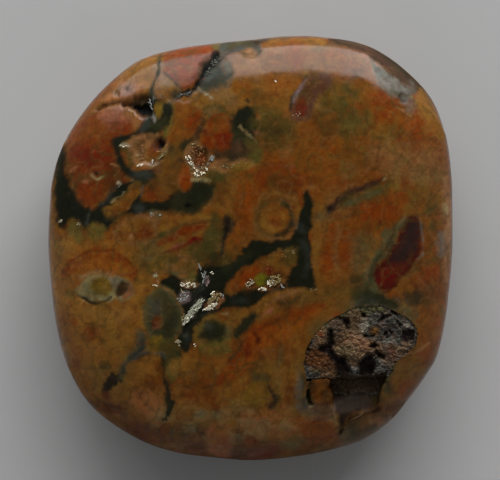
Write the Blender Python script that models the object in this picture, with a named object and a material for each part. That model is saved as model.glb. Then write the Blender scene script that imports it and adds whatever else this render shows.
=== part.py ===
"""A tumbled, polished slab of orbicular rhyolite with an open vug and the drusy crust inside it.

Run it in Blender 4.5, from the text editor or with: blender --background --python part.py
Units are metres, +Z is up. The origin is the centre of the flat spot that the stone rests on.
+Y is the long way of the stone's face, and +X the short way.
"""

import math
import random

import bmesh
import bpy
from mathutils import Vector

MM = 0.001

# Overall size
WIDTH = 45.0 * MM
LENGTH = 47.2 * MM
THICKNESS = 13.5 * MM
WIDEST_HEIGHT = 6.4 * MM
UNDERSIDE_DEPTH = 7.2 * MM
TOP_EXPONENT = 2.6
UNDERSIDE_EXPONENT = 2.3

# The face's outline, anticlockwise from the right-hand side, in millimetres
OUTLINE = [
    (22.5, 0.0), (22.5, 4.0), (22.4, 8.0), (21.8, 12.4), (20.2, 16.6), (17.1, 20.0),
    (13.2, 22.5), (8.6, 23.5), (4.2, 23.6), (0.0, 23.2), (-4.0, 22.8), (-8.1, 22.2),
    (-12.2, 21.0), (-15.6, 18.5), (-18.5, 15.3), (-20.7, 11.8), (-22.0, 7.9), (-22.4, 3.8),
    (-22.5, 0.0), (-22.2, -4.0), (-21.7, -8.1), (-20.7, -12.2), (-18.9, -16.0), (-16.5, -18.7),
    (-12.2, -21.4), (-8.3, -22.7), (-4.0, -23.3), (0.0, -23.6), (4.2, -23.3), (8.3, -22.6),
    (12.4, -21.4), (15.6, -19.2), (17.7, -16.7), (19.5, -14.2), (20.8, -11.9), (21.7, -8.0),
    (22.2, -4.0),
]
OUTLINE_STEPS = 12

# The conical facet on the shoulder: (direction in degrees, share of the radius where its ridge lies)
FACET_RIDGE = [
    (30, 1.0), (38, 0.955), (43, 0.936), (48, 0.94), (54, 0.953), (60, 0.966), (67, 0.982), (76, 1.0),
]

# Grid of the body
SEGMENTS = 84
TOP_RINGS = 17
UNDERSIDE_RINGS = 9

# The vug: its rim on the polished face, clockwise from the left, in millimetres. Its floor is the rim
# drawn in towards the centre to that share, and no further south than the south edge.
VUG_RIM = [
    (6.0, -11.0), (6.8, -9.8), (7.9, -8.4), (9.4, -7.4), (11.1, -6.5), (13.1, -6.2),
    (15.3, -6.6), (17.2, -7.7), (18.2, -8.9), (18.1, -10.4), (17.1, -11.5), (15.9, -12.6),
    (14.9, -14.2), (14.2, -16.0), (13.9, -17.4), (12.4, -18.2), (11.0, -19.0), (9.9, -19.9),
    (9.3, -18.8), (9.0, -17.6), (8.2, -16.9), (7.0, -16.6), (6.2, -15.6), (6.0, -14.2), (5.8, -12.6),
]
VUG_CENTRE = (11.4, -11.4)
VUG_FLOOR_HEIGHT = 8.6 * MM
VUG_FLOOR_SHARE = 0.84
VUG_SOUTH_EDGE = -15.2
SOUTH_EDGE_BEND = 0.12
VUG_WAIST_SHARE = 0.62
VUG_WAIST_RISE = 0.45
VUG_RIM_BEVEL = 0.25 * MM
VUG_RIM_FLARE = 0.2 * MM
CUTTER_TOP = THICKNESS + 2.0 * MM

# A narrow crevice at the vug's left side, the crack that runs from the vug to the edge, and the chip there
CREVICE = [(6.2, -14.6), (6.9, -14.5), (6.8, -16.4), (6.3, -17.5), (6.0, -17.4)]
CREVICE_HEIGHT = 9.6 * MM
EDGE_CRACK = [
    (12.6, -17.9), (13.8, -17.9), (15.7, -18.0), (16.6, -18.2), (16.6, -18.9), (15.6, -18.8), (13.6, -18.4),
]
EDGE_CRACK_DEPTH = 0.8 * MM
EDGE_CHIP = [(15.1, -19.7), (15.55, -18.4), (16.8, -17.6), (19.0, -18.5), (16.8, -21.0)]
EDGE_CHIP_HEIGHT = 4.6 * MM

# Shallow pits: (x, y, half length, half width, turn in degrees, depth), in millimetres and degrees
PITS = {
    "pit_cream_rim": (-11.7, 10.6, 1.7, 1.25, 15, 0.55),
    "pit_white_rim": (-5.9, 10.0, 1.45, 1.2, 60, 0.6),
    "pit_orange_lens": (1.9, -3.4, 1.5, 0.8, 20, 0.4),
    "pit_flakes": (-5.2, -5.9, 2.4, 0.9, 48, 0.5),
    "pit_dark_hole": (-11.5, 15.6, 0.9, 0.45, 0, 0.9),
}
PIT_LIFT = 0.35

# The crust in the vug: mounds of its mass as (x, y, radius, top height), in millimetres
CRUST_GAP = 0.35 * MM
CRUST_SLAB_HEIGHT = 9.7 * MM
CRUST_MOUNDS = [
    (11.4, -10.7, 2.3, 12.0), (10.2, -9.4, 1.3, 11.7), (12.9, -11.8, 1.5, 11.6), (11.3, -7.9, 1.1, 12.0),
    (13.0, -8.1, 1.5, 11.9), (15.0, -8.6, 1.7, 11.3), (16.4, -9.7, 1.5, 10.9), (14.9, -10.8, 1.6, 11.4),
    (13.9, -13.4, 0.9, 11.2), (7.8, -10.3, 0.85, 11.8), (8.4, -13.7, 0.75, 11.3), (7.6, -12.3, 0.9, 10.9),
    (11.6, -13.9, 0.6, 10.6),
]
GRAIN_PITCH = 0.85 * MM
GRAIN_STRAY = 0.2
GRAIN_RISE = 0.25 * MM
GRAIN_DIP = 0.45 * MM
EDGE_DIP = 0.25 * MM
GRAIN_SEED = 7

SMOOTH_ANGLE = math.radians(32)

STONE_COLOUR = (0.26, 0.10, 0.025, 1.0)
CRUST_COLOUR = (0.34, 0.24, 0.17, 1.0)


def clear_scene():
    for obj in list(bpy.data.objects):
        bpy.data.objects.remove(obj)


def material(name, colour, roughness):
    made = bpy.data.materials.new(name)
    made.use_nodes = True
    shader = made.node_tree.nodes["Principled BSDF"]
    shader.inputs["Base Color"].default_value = colour
    shader.inputs["Roughness"].default_value = roughness
    shader.inputs["Metallic"].default_value = 0.0
    return made


def smooth_loop(points, steps):
    """A closed Catmull-Rom curve through the points, with that many steps between two of them."""
    made = []
    count = len(points)
    for i in range(count):
        before, start, end, after = (Vector(points[(i + k) % count]) for k in (-1, 0, 1, 2))
        for k in range(steps):
            t = k / steps
            made.append(
                0.5
                * (
                    2 * start
                    + (end - before) * t
                    + (2 * before - 5 * start + 4 * end - after) * t**2
                    + (3 * start - before - 3 * end + after) * t**3
                )
            )
    return made


def fitted_outline():
    """The outline as (direction, radius) pairs in rising order, stretched to the stated width and length."""
    loop = smooth_loop(OUTLINE, OUTLINE_STEPS)
    low = [min(p[k] for p in loop) for k in (0, 1)]
    high = [max(p[k] for p in loop) for k in (0, 1)]
    size = (WIDTH, LENGTH)
    fitted = [
        [(p[k] - (low[k] + high[k]) / 2) * size[k] / (high[k] - low[k]) for k in (0, 1)]
        for p in loop
    ]
    return sorted((math.atan2(y, x) % math.tau, math.hypot(x, y)) for x, y in fitted)


def between(pairs, value):
    """The value read off a rising list of (place, height) pairs by straight lines."""
    for (a, fa), (b, fb) in zip(pairs, pairs[1:]):
        if a <= value <= b:
            return fa + (fb - fa) * (value - a) / max(b - a, 1e-12)
    return pairs[0][1] if value < pairs[0][0] else pairs[-1][1]


def closed_table(pairs):
    """The pairs with one more at each end, so that every direction lies between two of them."""
    first, last = pairs[0], pairs[-1]
    return [(last[0] - math.tau, last[1])] + pairs + [(first[0] + math.tau, first[1])]


RADII = closed_table(fitted_outline())


def outline_radius(direction):
    return between(RADII, direction % math.tau)


def dome_share(share, exponent):
    """Height share of a superellipse at that share of its radius: 1 at the middle, 0 at the rim."""
    return max(0.0, 1.0 - share**exponent) ** (1.0 / exponent)


def top_share(share, direction):
    """The dome's height share, cut by the straight facet between its ridge and the widest line."""
    ridge = between(FACET_RIDGE, math.degrees(direction % math.tau))
    dome = dome_share(share, TOP_EXPONENT)
    if share <= ridge or ridge >= 0.9999:
        return dome
    return min(dome, dome_share(ridge, TOP_EXPONENT) * (1 - share) / (1 - ridge))


def face_height(share, direction):
    """Height of the polished face above the flat spot, at a share of the radius in that direction."""
    return WIDEST_HEIGHT + (THICKNESS - WIDEST_HEIGHT) * top_share(share, direction)


def top_height(x, y):
    """Height of the polished face above the flat spot, at a place in metres."""
    direction = math.atan2(y, x)
    return face_height(min(1.0, math.hypot(x, y) / outline_radius(direction)), direction)


def ring(bm, share, height_at):
    """A ring of vertices at that share of the outline, each at the height that the function gives."""
    made = []
    for k in range(SEGMENTS):
        direction = math.tau * k / SEGMENTS
        radius = share * outline_radius(direction)
        made.append(
            bm.verts.new((radius * math.cos(direction), radius * math.sin(direction), height_at(direction)))
        )
    return made


def skin(bm, upper, lower):
    """Quads between two rings, facing out where upper is above or inside lower."""
    for k in range(len(upper)):
        n = (k + 1) % len(upper)
        bm.faces.new((upper[k], lower[k], lower[n], upper[n]))


def mesh_object(name, bm, surface=None, angle=SMOOTH_ANGLE):
    """The finished mesh as an object, shaded smooth but for edges sharper than the angle."""
    bmesh.ops.recalc_face_normals(bm, faces=bm.faces)
    mesh = bpy.data.meshes.new(name)
    bm.to_mesh(mesh)
    bm.free()
    if surface:
        mesh.materials.append(surface)
        mesh.shade_smooth()
        mesh.set_sharp_from_angle(angle=angle)
    obj = bpy.data.objects.new(name, mesh)
    bpy.context.scene.collection.objects.link(obj)
    return obj


def flat_spot_share():
    """Share of the outline where the underside's dome meets the plane that the stone rests on."""
    cut = WIDEST_HEIGHT / UNDERSIDE_DEPTH
    return (1.0 - cut**UNDERSIDE_EXPONENT) ** (1.0 / UNDERSIDE_EXPONENT)


def make_body(surface):
    """The polished body: rings of a domed top, rings of the underside, and a flat base."""
    bm = bmesh.new()
    top_pole = bm.verts.new((0, 0, THICKNESS))
    rings = []
    for k in range(1, TOP_RINGS + 1):
        share = math.sin(math.pi / 2 * k / TOP_RINGS) ** (2 / TOP_EXPONENT)
        rings.append(ring(bm, share, lambda d, s=share: face_height(s, d)))
    flat = flat_spot_share()
    flat_angle = math.asin(flat ** (UNDERSIDE_EXPONENT / 2))
    for k in range(1, UNDERSIDE_RINGS + 1):
        angle = math.pi / 2 + (flat_angle - math.pi / 2) * k / UNDERSIDE_RINGS
        share = math.sin(angle) ** (2 / UNDERSIDE_EXPONENT)
        height = WIDEST_HEIGHT - UNDERSIDE_DEPTH * dome_share(share, UNDERSIDE_EXPONENT)
        rings.append(ring(bm, share, lambda d, h=max(0.0, height): h))
    for vertex in rings[-1]:
        vertex.co.z = 0.0
    for k in range(SEGMENTS):
        bm.faces.new((top_pole, rings[0][k], rings[0][(k + 1) % SEGMENTS]))
    for upper, lower in zip(rings, rings[1:]):
        skin(bm, upper, lower)
    bm.faces.new(list(reversed(rings[-1])))
    return mesh_object("stone", bm, surface)


def moved_in(points, distance):
    """A closed outline in metres with each point moved inwards, square to its neighbours' line."""
    area = sum(a.x * b.y - b.x * a.y for a, b in zip(points, points[1:] + points[:1]))
    turn = 1 if area > 0 else -1
    made = []
    for k, point in enumerate(points):
        along = points[(k + 1) % len(points)] - points[k - 1]
        made.append(point + Vector((-along.y, along.x)).normalized() * turn * distance)
    return made


def vug_levels(gap):
    """The vug's outlines at its floor and at its rim, both kept a gap inside the cut."""
    rim = [Vector((x * MM, y * MM)) for x, y in VUG_RIM]
    centre = Vector(VUG_CENTRE) * MM
    floor = [centre + (p - centre) * VUG_FLOOR_SHARE for p in rim]
    south_edge = VUG_SOUTH_EDGE * MM
    floor = [Vector((p.x, max(p.y, south_edge - SOUTH_EDGE_BEND * (centre.y - p.y)))) for p in floor]
    return moved_in(floor, gap), moved_in(rim, gap)


def loft(name, outlines):
    """A closed body through outlines of the same number of points: a list of (points, heights)."""
    bm = bmesh.new()
    loops = []
    for points, heights in outlines:
        loops.append([bm.verts.new((p.x, p.y, h)) for p, h in zip(points, heights)])
    for lower, upper in zip(loops, loops[1:]):
        skin(bm, upper, lower)
    bm.faces.new(loops[0])
    bm.faces.new(loops[-1])
    bmesh.ops.triangulate(bm, faces=[f for f in bm.faces if len(f.verts) > 4])
    return mesh_object(name, bm)


def helper(obj):
    obj.hide_render = True
    obj.display_type = "WIRE"
    return obj


def vug_cutter(name, gap):
    """The vug's space: steep walls to the north, a long slope to the south, and a flat floor."""
    floor, rim = vug_levels(gap)
    floor_height = VUG_FLOOR_HEIGHT + gap
    rim_heights = [top_height(p.x, p.y) - VUG_RIM_BEVEL for p in rim]
    waist = [f.lerp(r, VUG_WAIST_SHARE) for f, r in zip(floor, rim)]
    waist_heights = [floor_height + VUG_WAIST_RISE * (h - floor_height) for h in rim_heights]
    outlines = [
        (floor, [floor_height] * len(floor)),
        (waist, waist_heights),
        (rim, rim_heights),
        (moved_in(rim, -VUG_RIM_FLARE), [CUTTER_TOP] * len(rim)),
    ]
    return helper(loft(name, outlines))


def prism_cutter(name, points, bottom):
    """A straight-walled cutter over a small outline, from that height to above the face."""
    outline = [Vector((x * MM, y * MM)) for x, y in points]
    return helper(loft(name, [(outline, [bottom] * len(outline)), (outline, [CUTTER_TOP] * len(outline))]))


def pit_cutter(name, x, y, half_length, half_width, turn, depth):
    """A lens-shaped cutter that leaves a shallow round-bottomed pit in the face."""
    bm = bmesh.new()
    bmesh.ops.create_icosphere(bm, subdivisions=2, radius=1.0)
    sink = depth * (1 + PIT_LIFT)
    for vertex in bm.verts:
        vertex.co = Vector((vertex.co.x * half_length, vertex.co.y * half_width, vertex.co.z * sink)) * MM
    obj = mesh_object(name, bm)
    obj.location = (x * MM, y * MM, top_height(x * MM, y * MM) + PIT_LIFT * depth * MM)
    obj.rotation_euler.z = math.radians(turn)
    return helper(obj)


def boolean(obj, other, operation):
    made = obj.modifiers.new(other.name, "BOOLEAN")
    made.operation = operation
    made.solver = "EXACT"
    made.object = other
    return made


def crust_top(x, y):
    """Height of the crust at a place: the highest of its mounds' round caps, or the slab between them."""
    best = CRUST_SLAB_HEIGHT
    for mound_x, mound_y, radius, top in CRUST_MOUNDS:
        off = math.hypot(x - mound_x * MM, y - mound_y * MM) / (radius * MM)
        if off < 1:
            best = max(best, CRUST_SLAB_HEIGHT + (top * MM - CRUST_SLAB_HEIGHT) * math.sqrt(1 - off**2))
    return best


def grain_lattice(low, high):
    """Rows of places, every other row shifted by half a pitch and each place a little off, with heights."""
    rng = random.Random(GRAIN_SEED)
    row_pitch = GRAIN_PITCH * math.sqrt(3) / 2
    rows = int((high.y - low.y) / row_pitch) + 2
    columns = int((high.x - low.x) / GRAIN_PITCH) + 2
    lattice = []
    for row in range(rows):
        places = []
        for column in range(columns):
            x = low.x + (column + 0.5 * (row % 2) + rng.uniform(-GRAIN_STRAY, GRAIN_STRAY)) * GRAIN_PITCH
            y = low.y + (row + rng.uniform(-GRAIN_STRAY, GRAIN_STRAY)) * row_pitch
            places.append(Vector((x, y, crust_top(x, y) + rng.uniform(0, GRAIN_RISE))))
        lattice.append(places)
    return lattice


def make_crust(surface):
    """The drusy crust: a field of flat-faced grains over its mounds, closed below and cut to the vug."""
    rim = vug_levels(CRUST_GAP)[1]
    margin = Vector((GRAIN_PITCH, GRAIN_PITCH))
    low = Vector((min(p.x for p in rim), min(p.y for p in rim))) - margin
    high = Vector((max(p.x for p in rim), max(p.y for p in rim))) + margin
    lattice = grain_lattice(low, high)
    bm = bmesh.new()
    tips = [[bm.verts.new(place) for place in row] for row in lattice]
    middles = {}

    def middle(a, b):
        """The dip half-way between two neighbouring tips."""
        key = frozenset((a, b))
        if key not in middles:
            middles[key] = bm.verts.new((a.co + b.co) / 2 - Vector((0, 0, EDGE_DIP)))
        return middles[key]

    def grain_corner(a, b, c):
        """Six flat faces around the hollow where three grains meet."""
        hollow = bm.verts.new((a.co + b.co + c.co) / 3 - Vector((0, 0, GRAIN_DIP)))
        for first, second in ((a, b), (b, c), (c, a)):
            half = middle(first, second)
            bm.faces.new((first, half, hollow))
            bm.faces.new((half, second, hollow))

    for row in range(len(tips) - 1):
        here, above = tips[row], tips[row + 1]
        for k in range(len(here) - 1):
            if row % 2:
                grain_corner(here[k], above[k + 1], above[k])
                grain_corner(here[k], here[k + 1], above[k + 1])
            else:
                grain_corner(here[k], here[k + 1], above[k])
                grain_corner(here[k + 1], above[k + 1], above[k])
    pulled = bmesh.ops.extrude_face_region(bm, geom=list(bm.faces))["geom"]
    for part in pulled:
        if isinstance(part, bmesh.types.BMVert):
            part.co.z = VUG_FLOOR_HEIGHT - CRUST_GAP
    crust = mesh_object("vug_crust", bm, surface, angle=0.0)
    boolean(crust, vug_cutter("crust_space", CRUST_GAP), "INTERSECT")
    return crust


def main():
    clear_scene()
    stone = make_body(material("polished_rhyolite", STONE_COLOUR, 0.2))
    boolean(stone, vug_cutter("vug_space", 0.0), "DIFFERENCE")
    boolean(stone, prism_cutter("crevice_space", CREVICE, CREVICE_HEIGHT), "DIFFERENCE")
    crack_x, crack_y = EDGE_CRACK[2]
    crack_floor = top_height(crack_x * MM, crack_y * MM) - EDGE_CRACK_DEPTH
    boolean(stone, prism_cutter("edge_crack_space", EDGE_CRACK, crack_floor), "DIFFERENCE")
    boolean(stone, prism_cutter("edge_chip_space", EDGE_CHIP, EDGE_CHIP_HEIGHT), "DIFFERENCE")
    for name, values in PITS.items():
        boolean(stone, pit_cutter(name, *values), "DIFFERENCE")
    make_crust(material("drusy_crust", CRUST_COLOUR, 0.55))


main()
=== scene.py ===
"""The finished look of a polished orbicular rhyolite: its rock, its orbs and veins, its vug and its crystals.

The stone's face is painted and carved by marks that are placed one by one. Their places are in picture
pixels, as the camera sees the face in an image of 500 by 480, and the camera here is the one that sees it so.
"""

import math

import bpy
import numpy as np
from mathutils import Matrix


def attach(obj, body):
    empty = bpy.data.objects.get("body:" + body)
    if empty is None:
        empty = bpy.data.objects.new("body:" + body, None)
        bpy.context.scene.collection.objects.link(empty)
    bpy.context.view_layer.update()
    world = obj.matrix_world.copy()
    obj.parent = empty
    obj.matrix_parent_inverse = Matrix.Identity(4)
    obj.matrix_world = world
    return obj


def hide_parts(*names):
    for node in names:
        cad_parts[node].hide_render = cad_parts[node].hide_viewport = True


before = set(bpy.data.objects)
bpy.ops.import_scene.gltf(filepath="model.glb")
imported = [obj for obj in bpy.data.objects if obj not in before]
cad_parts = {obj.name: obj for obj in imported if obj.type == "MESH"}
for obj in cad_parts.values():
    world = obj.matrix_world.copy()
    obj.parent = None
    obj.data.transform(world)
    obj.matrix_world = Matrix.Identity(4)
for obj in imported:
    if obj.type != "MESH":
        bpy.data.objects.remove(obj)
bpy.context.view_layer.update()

MM = 0.001

# The stone's form, in millimetres, as the solid has it
WIDTH = 45.0
LENGTH = 47.2
THICKNESS = 13.5
WIDEST_HEIGHT = 6.4
UNDERSIDE_DEPTH = 7.2
TOP_EXPONENT = 2.6
UNDERSIDE_EXPONENT = 2.3
OUTLINE = [
    (22.5, 0.0), (22.5, 4.0), (22.4, 8.0), (21.8, 12.4), (20.2, 16.6), (17.1, 20.0),
    (13.2, 22.5), (8.6, 23.5), (4.2, 23.6), (0.0, 23.2), (-4.0, 22.8), (-8.1, 22.2),
    (-12.2, 21.0), (-15.6, 18.5), (-18.5, 15.3), (-20.7, 11.8), (-22.0, 7.9), (-22.4, 3.8),
    (-22.5, 0.0), (-22.2, -4.0), (-21.7, -8.1), (-20.7, -12.2), (-18.9, -16.0), (-16.5, -18.7),
    (-12.2, -21.4), (-8.3, -22.7), (-4.0, -23.3), (0.0, -23.6), (4.2, -23.3), (8.3, -22.6),
    (12.4, -21.4), (15.6, -19.2), (17.7, -16.7), (19.5, -14.2), (20.8, -11.9), (21.7, -8.0),
    (22.2, -4.0),
]
FACET_RIDGE = [
    (30, 1.0), (38, 0.955), (43, 0.936), (48, 0.94), (54, 0.953), (60, 0.966), (67, 0.982), (76, 1.0),
]
VUG_RIM = [
    (6.0, -11.0), (6.8, -9.8), (7.9, -8.4), (9.4, -7.4), (11.1, -6.5), (13.1, -6.2),
    (15.3, -6.6), (17.2, -7.7), (18.2, -8.9), (18.1, -10.4), (17.1, -11.5), (15.9, -12.6),
    (14.9, -14.2), (14.2, -16.0), (13.9, -17.4), (12.4, -18.2), (11.0, -19.0), (9.9, -19.9),
    (9.3, -18.8), (9.0, -17.6), (8.2, -16.9), (7.0, -16.6), (6.2, -15.6), (6.0, -14.2), (5.8, -12.6),
]
VUG_CENTRE = (11.4, -11.4)
VUG_FLOOR = 8.7
VUG_SLOPE_TOP = -18.6
VUG_SLOPE_FOOT = -15.0
CRUST_SLAB = 9.3
CRUST_MOUNDS = [
    (11.4, -10.7, 2.3, 12.0), (10.2, -9.4, 1.3, 11.7), (12.9, -11.8, 1.5, 11.6), (11.3, -7.9, 1.1, 12.0),
    (13.0, -8.1, 1.5, 11.9), (15.0, -8.6, 1.7, 11.3), (16.4, -9.7, 1.5, 10.9), (14.9, -10.8, 1.6, 11.4),
    (13.9, -13.4, 0.9, 11.2), (7.8, -10.3, 0.85, 11.8), (8.4, -13.7, 0.75, 11.3), (7.6, -12.3, 0.9, 10.9),
    (11.6, -13.9, 0.6, 10.6),
]

# The camera, straight above: its height and place in millimetres, and its focal length in picture pixels
IMAGE_SIZE = (500, 480)
CAMERA_HEIGHT = 266.5
CAMERA_PLACE = (-0.056, 0.89)
FOCAL_PIXELS = 2334.3
SENSOR = 36.0
PIXELS_PER_MM = FOCAL_PIXELS / (CAMERA_HEIGHT - WIDEST_HEIGHT)

# Colours of the rock as they look in the picture's light, in 8-bit sRGB
ROCK = {
    "orange": (98, 55, 17), "deep_orange": (94, 47, 15), "ember": (104, 45, 10), "rust": (92, 38, 8),
    "brick": (82, 24, 6), "crimson": (84, 14, 8), "wine": (58, 18, 8), "ochre": (100, 66, 24),
    "amber": (108, 72, 26), "gold": (98, 74, 22), "tan": (108, 76, 42), "sand": (126, 86, 52),
    "peach": (124, 76, 46), "rose": (120, 70, 52), "cream": (128, 112, 74), "pale": (158, 146, 118),
    "white": (205, 198, 176), "olive": (62, 52, 22), "yellow_olive": (84, 72, 30), "sage": (70, 66, 40),
    "moss": (38, 36, 20), "bottle": (23, 24, 15), "teal": (34, 38, 32), "slate": (58, 60, 54),
    "grey": (92, 90, 82), "mauve": (74, 48, 34), "plum": (38, 26, 22), "lilac": (112, 92, 88),
    "apricot": (140, 86, 46), "brown": (62, 38, 16), "dark_brown": (34, 24, 12), "umber": (46, 34, 22),
    "black": (10, 8, 7), "citron": (88, 82, 16), "lichen": (106, 98, 64), "flame": (116, 60, 16),
    # Honey, a lighter amber, is also laid in the clouds over the left and the bottom as painted light
    "honey": (122, 82, 30), "druse": (96, 76, 54), "druse_grey": (68, 65, 58), "ice": (128, 128, 124),
    # The druse's gap colour is painted shade, for the hollows between its crystals
    "mint": (150, 152, 132), "pink_grey": (80, 63, 48), "floor_brown": (40, 31, 25), "gap_shade": (30, 20, 16),
}

# The share of a colour that the picture's light gives back, the room's reflection that the gloss adds to
# it, and the darkest a colour gets
LIGHT_SHARE = 0.92
ROOM_GLARE = 0.002
DARKEST = 0.0012

# Colours darker than this are solid and keep their edges under clouds and weathering
DARK_PIGMENT = 0.032

# Every edge blends wider than its mark says by the first factor, and is frayed by this many pixels, plus
# more of them the softer it is
SOFTNESS = 1.3
FRAY = 0.5
FRAY_BY_SOFTNESS = 0.45

# How far beyond a mark its bent and frayed edge can lie, in pixels, and how soft the edge of a box is
OUTLINE_MARGIN = 7
ROUND_MARGIN = 3
BOX_SOFTNESS = 12.0


def pigment(name):
    """The linear colour that looks like the named one in the picture's light, less the room's reflection.

    The sRGB curve: value / 12.92 in the darkest part, and ((value + 0.055) / 1.055)^2.4 above it.
    """
    value = np.array(ROCK[name]) / 255.0
    linear = np.where(value <= 0.04045, value / 12.92, ((value + 0.055) / 1.055) ** 2.4)
    return np.maximum(linear - ROOM_GLARE, DARKEST) / LIGHT_SHARE


def smooth_step(low, high, value):
    """A smooth rise from 0 at low to 1 at high: 3t^2 - 2t^3."""
    t = np.clip((value - low) / (high - low), 0.0, 1.0)
    return t * t * (3.0 - 2.0 * t)


# Uneven fields, for natural edges and mottling

LATTICE = 32
LATTICE_START = 500.0
NOISE_GAIN = 1.6
SEED_STEP = 17


def lattice_noise(x, y, z, size, seed):
    """Values from 0 to 1 on a lattice of that size, smoothly blended between its eight nearest corners."""
    table = np.random.default_rng(seed).random((LATTICE, LATTICE, LATTICE))
    cells = []
    for value in (x, y, z):
        scaled = value / size + LATTICE_START
        whole = np.floor(scaled).astype(int)
        part = scaled - whole
        cells.append((whole % LATTICE, (whole + 1) % LATTICE, part * part * (3.0 - 2.0 * part)))
    (x0, x1, fx), (y0, y1, fy), (z0, z1, fz) = cells
    total = 0.0
    for ix, wx in ((x0, 1 - fx), (x1, fx)):
        for iy, wy in ((y0, 1 - fy), (y1, fy)):
            for iz, wz in ((z0, 1 - fz), (z1, fz)):
                total = total + table[ix, iy, iz] * wx * wy * wz
    return total


def rough_noise(place, size, seed, octaves=3):
    """Several lattice noises, each half the size and half the weight of the last, from -1 to 1."""
    total = 0.0
    weight = 0.0
    for k in range(octaves):
        share = 0.5**k
        layer = lattice_noise(place[:, 0], place[:, 1], place[:, 2], size * 0.5**k, seed + SEED_STEP * k)
        total = total + share * (2.0 * layer - 1.0)
        weight += share
    return NOISE_GAIN * total / weight


def noise_ridges(place, size, seed):
    """Thin winding lines where a noise crosses 0: 1 on a line, less the farther from it, 1 - |noise|."""
    return 1.0 - np.abs(rough_noise(place, size, seed, 2))


def bending(place, seed):
    """How many pixels a place is moved by noise: a coarse wave and a fine one."""
    return 1.5 * rough_noise(place, 1.5, seed) + 0.5 * rough_noise(place, 0.35, seed + 1, 2)


# Curves and distances in the picture's plane

def smooth_curve(points, closed, steps=5):
    """A Catmull-Rom curve through the points, with that many steps between two of them."""
    p = np.reshape(np.array(points, float), (-1, 2))
    if closed:
        before, start, end, after = (np.roll(p, shift, axis=0) for shift in (1, 0, -1, -2))
    else:
        padded = np.vstack([2 * p[0] - p[1], p, 2 * p[-1] - p[-2]])
        before, start, end, after = padded[:-3], padded[1:-2], padded[2:-1], padded[3:]
    t = (np.arange(steps) / steps)[None, :, None]
    before, start, end, after = (q[:, None, :] for q in (before, start, end, after))
    curve = 0.5 * (
        2 * start
        + (end - before) * t
        + (2 * before - 5 * start + 4 * end - after) * t**2
        + (3 * start - before - 3 * end + after) * t**3
    )
    curve = curve.reshape(-1, p.shape[1])
    return curve if closed else np.vstack([curve, p[-1:]])


def line_distance(x, y, line):
    """Distance of each place from a line of straight pieces, and where along it that is, 0 to 1."""
    best = np.full(x.shape, np.inf)
    along = np.zeros(x.shape)
    pieces = len(line) - 1
    for k in range(pieces):
        (ax, ay), (bx, by) = line[k, :2], line[k + 1, :2]
        length = max((bx - ax) ** 2 + (by - ay) ** 2, 1e-9)
        t = np.clip(((x - ax) * (bx - ax) + (y - ay) * (by - ay)) / length, 0.0, 1.0)
        d = np.hypot(x - ax - t * (bx - ax), y - ay - t * (by - ay))
        closer = d < best
        best = np.where(closer, d, best)
        along = np.where(closer, (k + t) / pieces, along)
    return best, along


def inside_distance(x, y, loop):
    """Distance from a closed line, above 0 inside it and below 0 outside, by counting crossings."""
    closed = np.vstack([loop, loop[:1]])
    distance, _ = line_distance(x, y, closed)
    odd = np.zeros(x.shape, bool)
    for (ax, ay), (bx, by) in zip(closed[:-1], closed[1:]):
        if ay != by:
            odd ^= ((ay > y) != (by > y)) & (x < ax + (y - ay) * (bx - ax) / (by - ay))
    return np.where(odd, distance, -distance)


# The stone's form

def outline_table():
    """Directions and radii of the outline, a smooth loop stretched to the stated width and length."""
    loop = smooth_curve(OUTLINE, closed=True, steps=12)
    low, high = loop.min(axis=0), loop.max(axis=0)
    loop = (loop - (low + high) / 2) * np.array([WIDTH, LENGTH]) / (high - low)
    direction = np.arctan2(loop[:, 1], loop[:, 0]) % math.tau
    order = np.argsort(direction)
    radius = np.hypot(loop[:, 0], loop[:, 1])[order]
    direction = direction[order]
    wrapped = np.concatenate([direction[-1:] - math.tau, direction, direction[:1] + math.tau])
    return wrapped, np.concatenate([radius[-1:], radius, radius[:1]])


OUTLINE_DIRECTIONS, OUTLINE_RADII = outline_table()


def outline_radius(direction):
    """Radius of the outline in that direction, in millimetres."""
    return np.interp(direction % math.tau, OUTLINE_DIRECTIONS, OUTLINE_RADII)


def dome_share(share, exponent):
    """Height share of a superellipse: (1 - share^n)^(1/n)."""
    return np.clip(1.0 - np.abs(share) ** exponent, 0.0, 1.0) ** (1.0 / exponent)


def face_height(share, direction):
    """Height of the polished face: the superellipse dome, cut by a straight facet beyond its ridge."""
    angles, ridges = zip(*FACET_RIDGE)
    ridge = np.interp(np.degrees(direction % math.tau), angles, ridges)
    dome = dome_share(share, TOP_EXPONENT)
    straight = dome_share(ridge, TOP_EXPONENT) * (1.0 - share) / np.maximum(1.0 - ridge, 1e-6)
    rise = np.where((share > ridge) & (ridge < 0.9999), np.minimum(dome, straight), dome)
    return WIDEST_HEIGHT + (THICKNESS - WIDEST_HEIGHT) * rise


def height_at(x, y):
    """Height of the polished face at places in millimetres."""
    direction = np.arctan2(y, x)
    return face_height(np.minimum(np.hypot(x, y) / outline_radius(direction), 1.0), direction)


def profile_tables():
    """Arc length from the top pole down to the middle of the flat spot, with share and height along it."""
    nominal = (WIDTH + LENGTH) / 4
    quarter = np.linspace(0.0, math.pi / 2, 400)
    top_share = np.sin(quarter) ** (2 / TOP_EXPONENT)
    top_height = WIDEST_HEIGHT + (THICKNESS - WIDEST_HEIGHT) * dome_share(top_share, TOP_EXPONENT)
    under_share = np.sin(quarter[::-1]) ** (2 / UNDERSIDE_EXPONENT)
    under_height = WIDEST_HEIGHT - UNDERSIDE_DEPTH * dome_share(under_share, UNDERSIDE_EXPONENT)
    share = np.concatenate([top_share, under_share[1:]])
    height = np.maximum(np.concatenate([top_height, under_height[1:]]), 0.0)
    steps = np.hypot(np.diff(share) * nominal, np.diff(height))
    length = np.concatenate([[0.0], np.cumsum(steps)])
    return length, share, height, length[len(quarter) - 1]


ARC, ARC_SHARE, ARC_HEIGHT, ARC_WIDEST = profile_tables()


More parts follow.
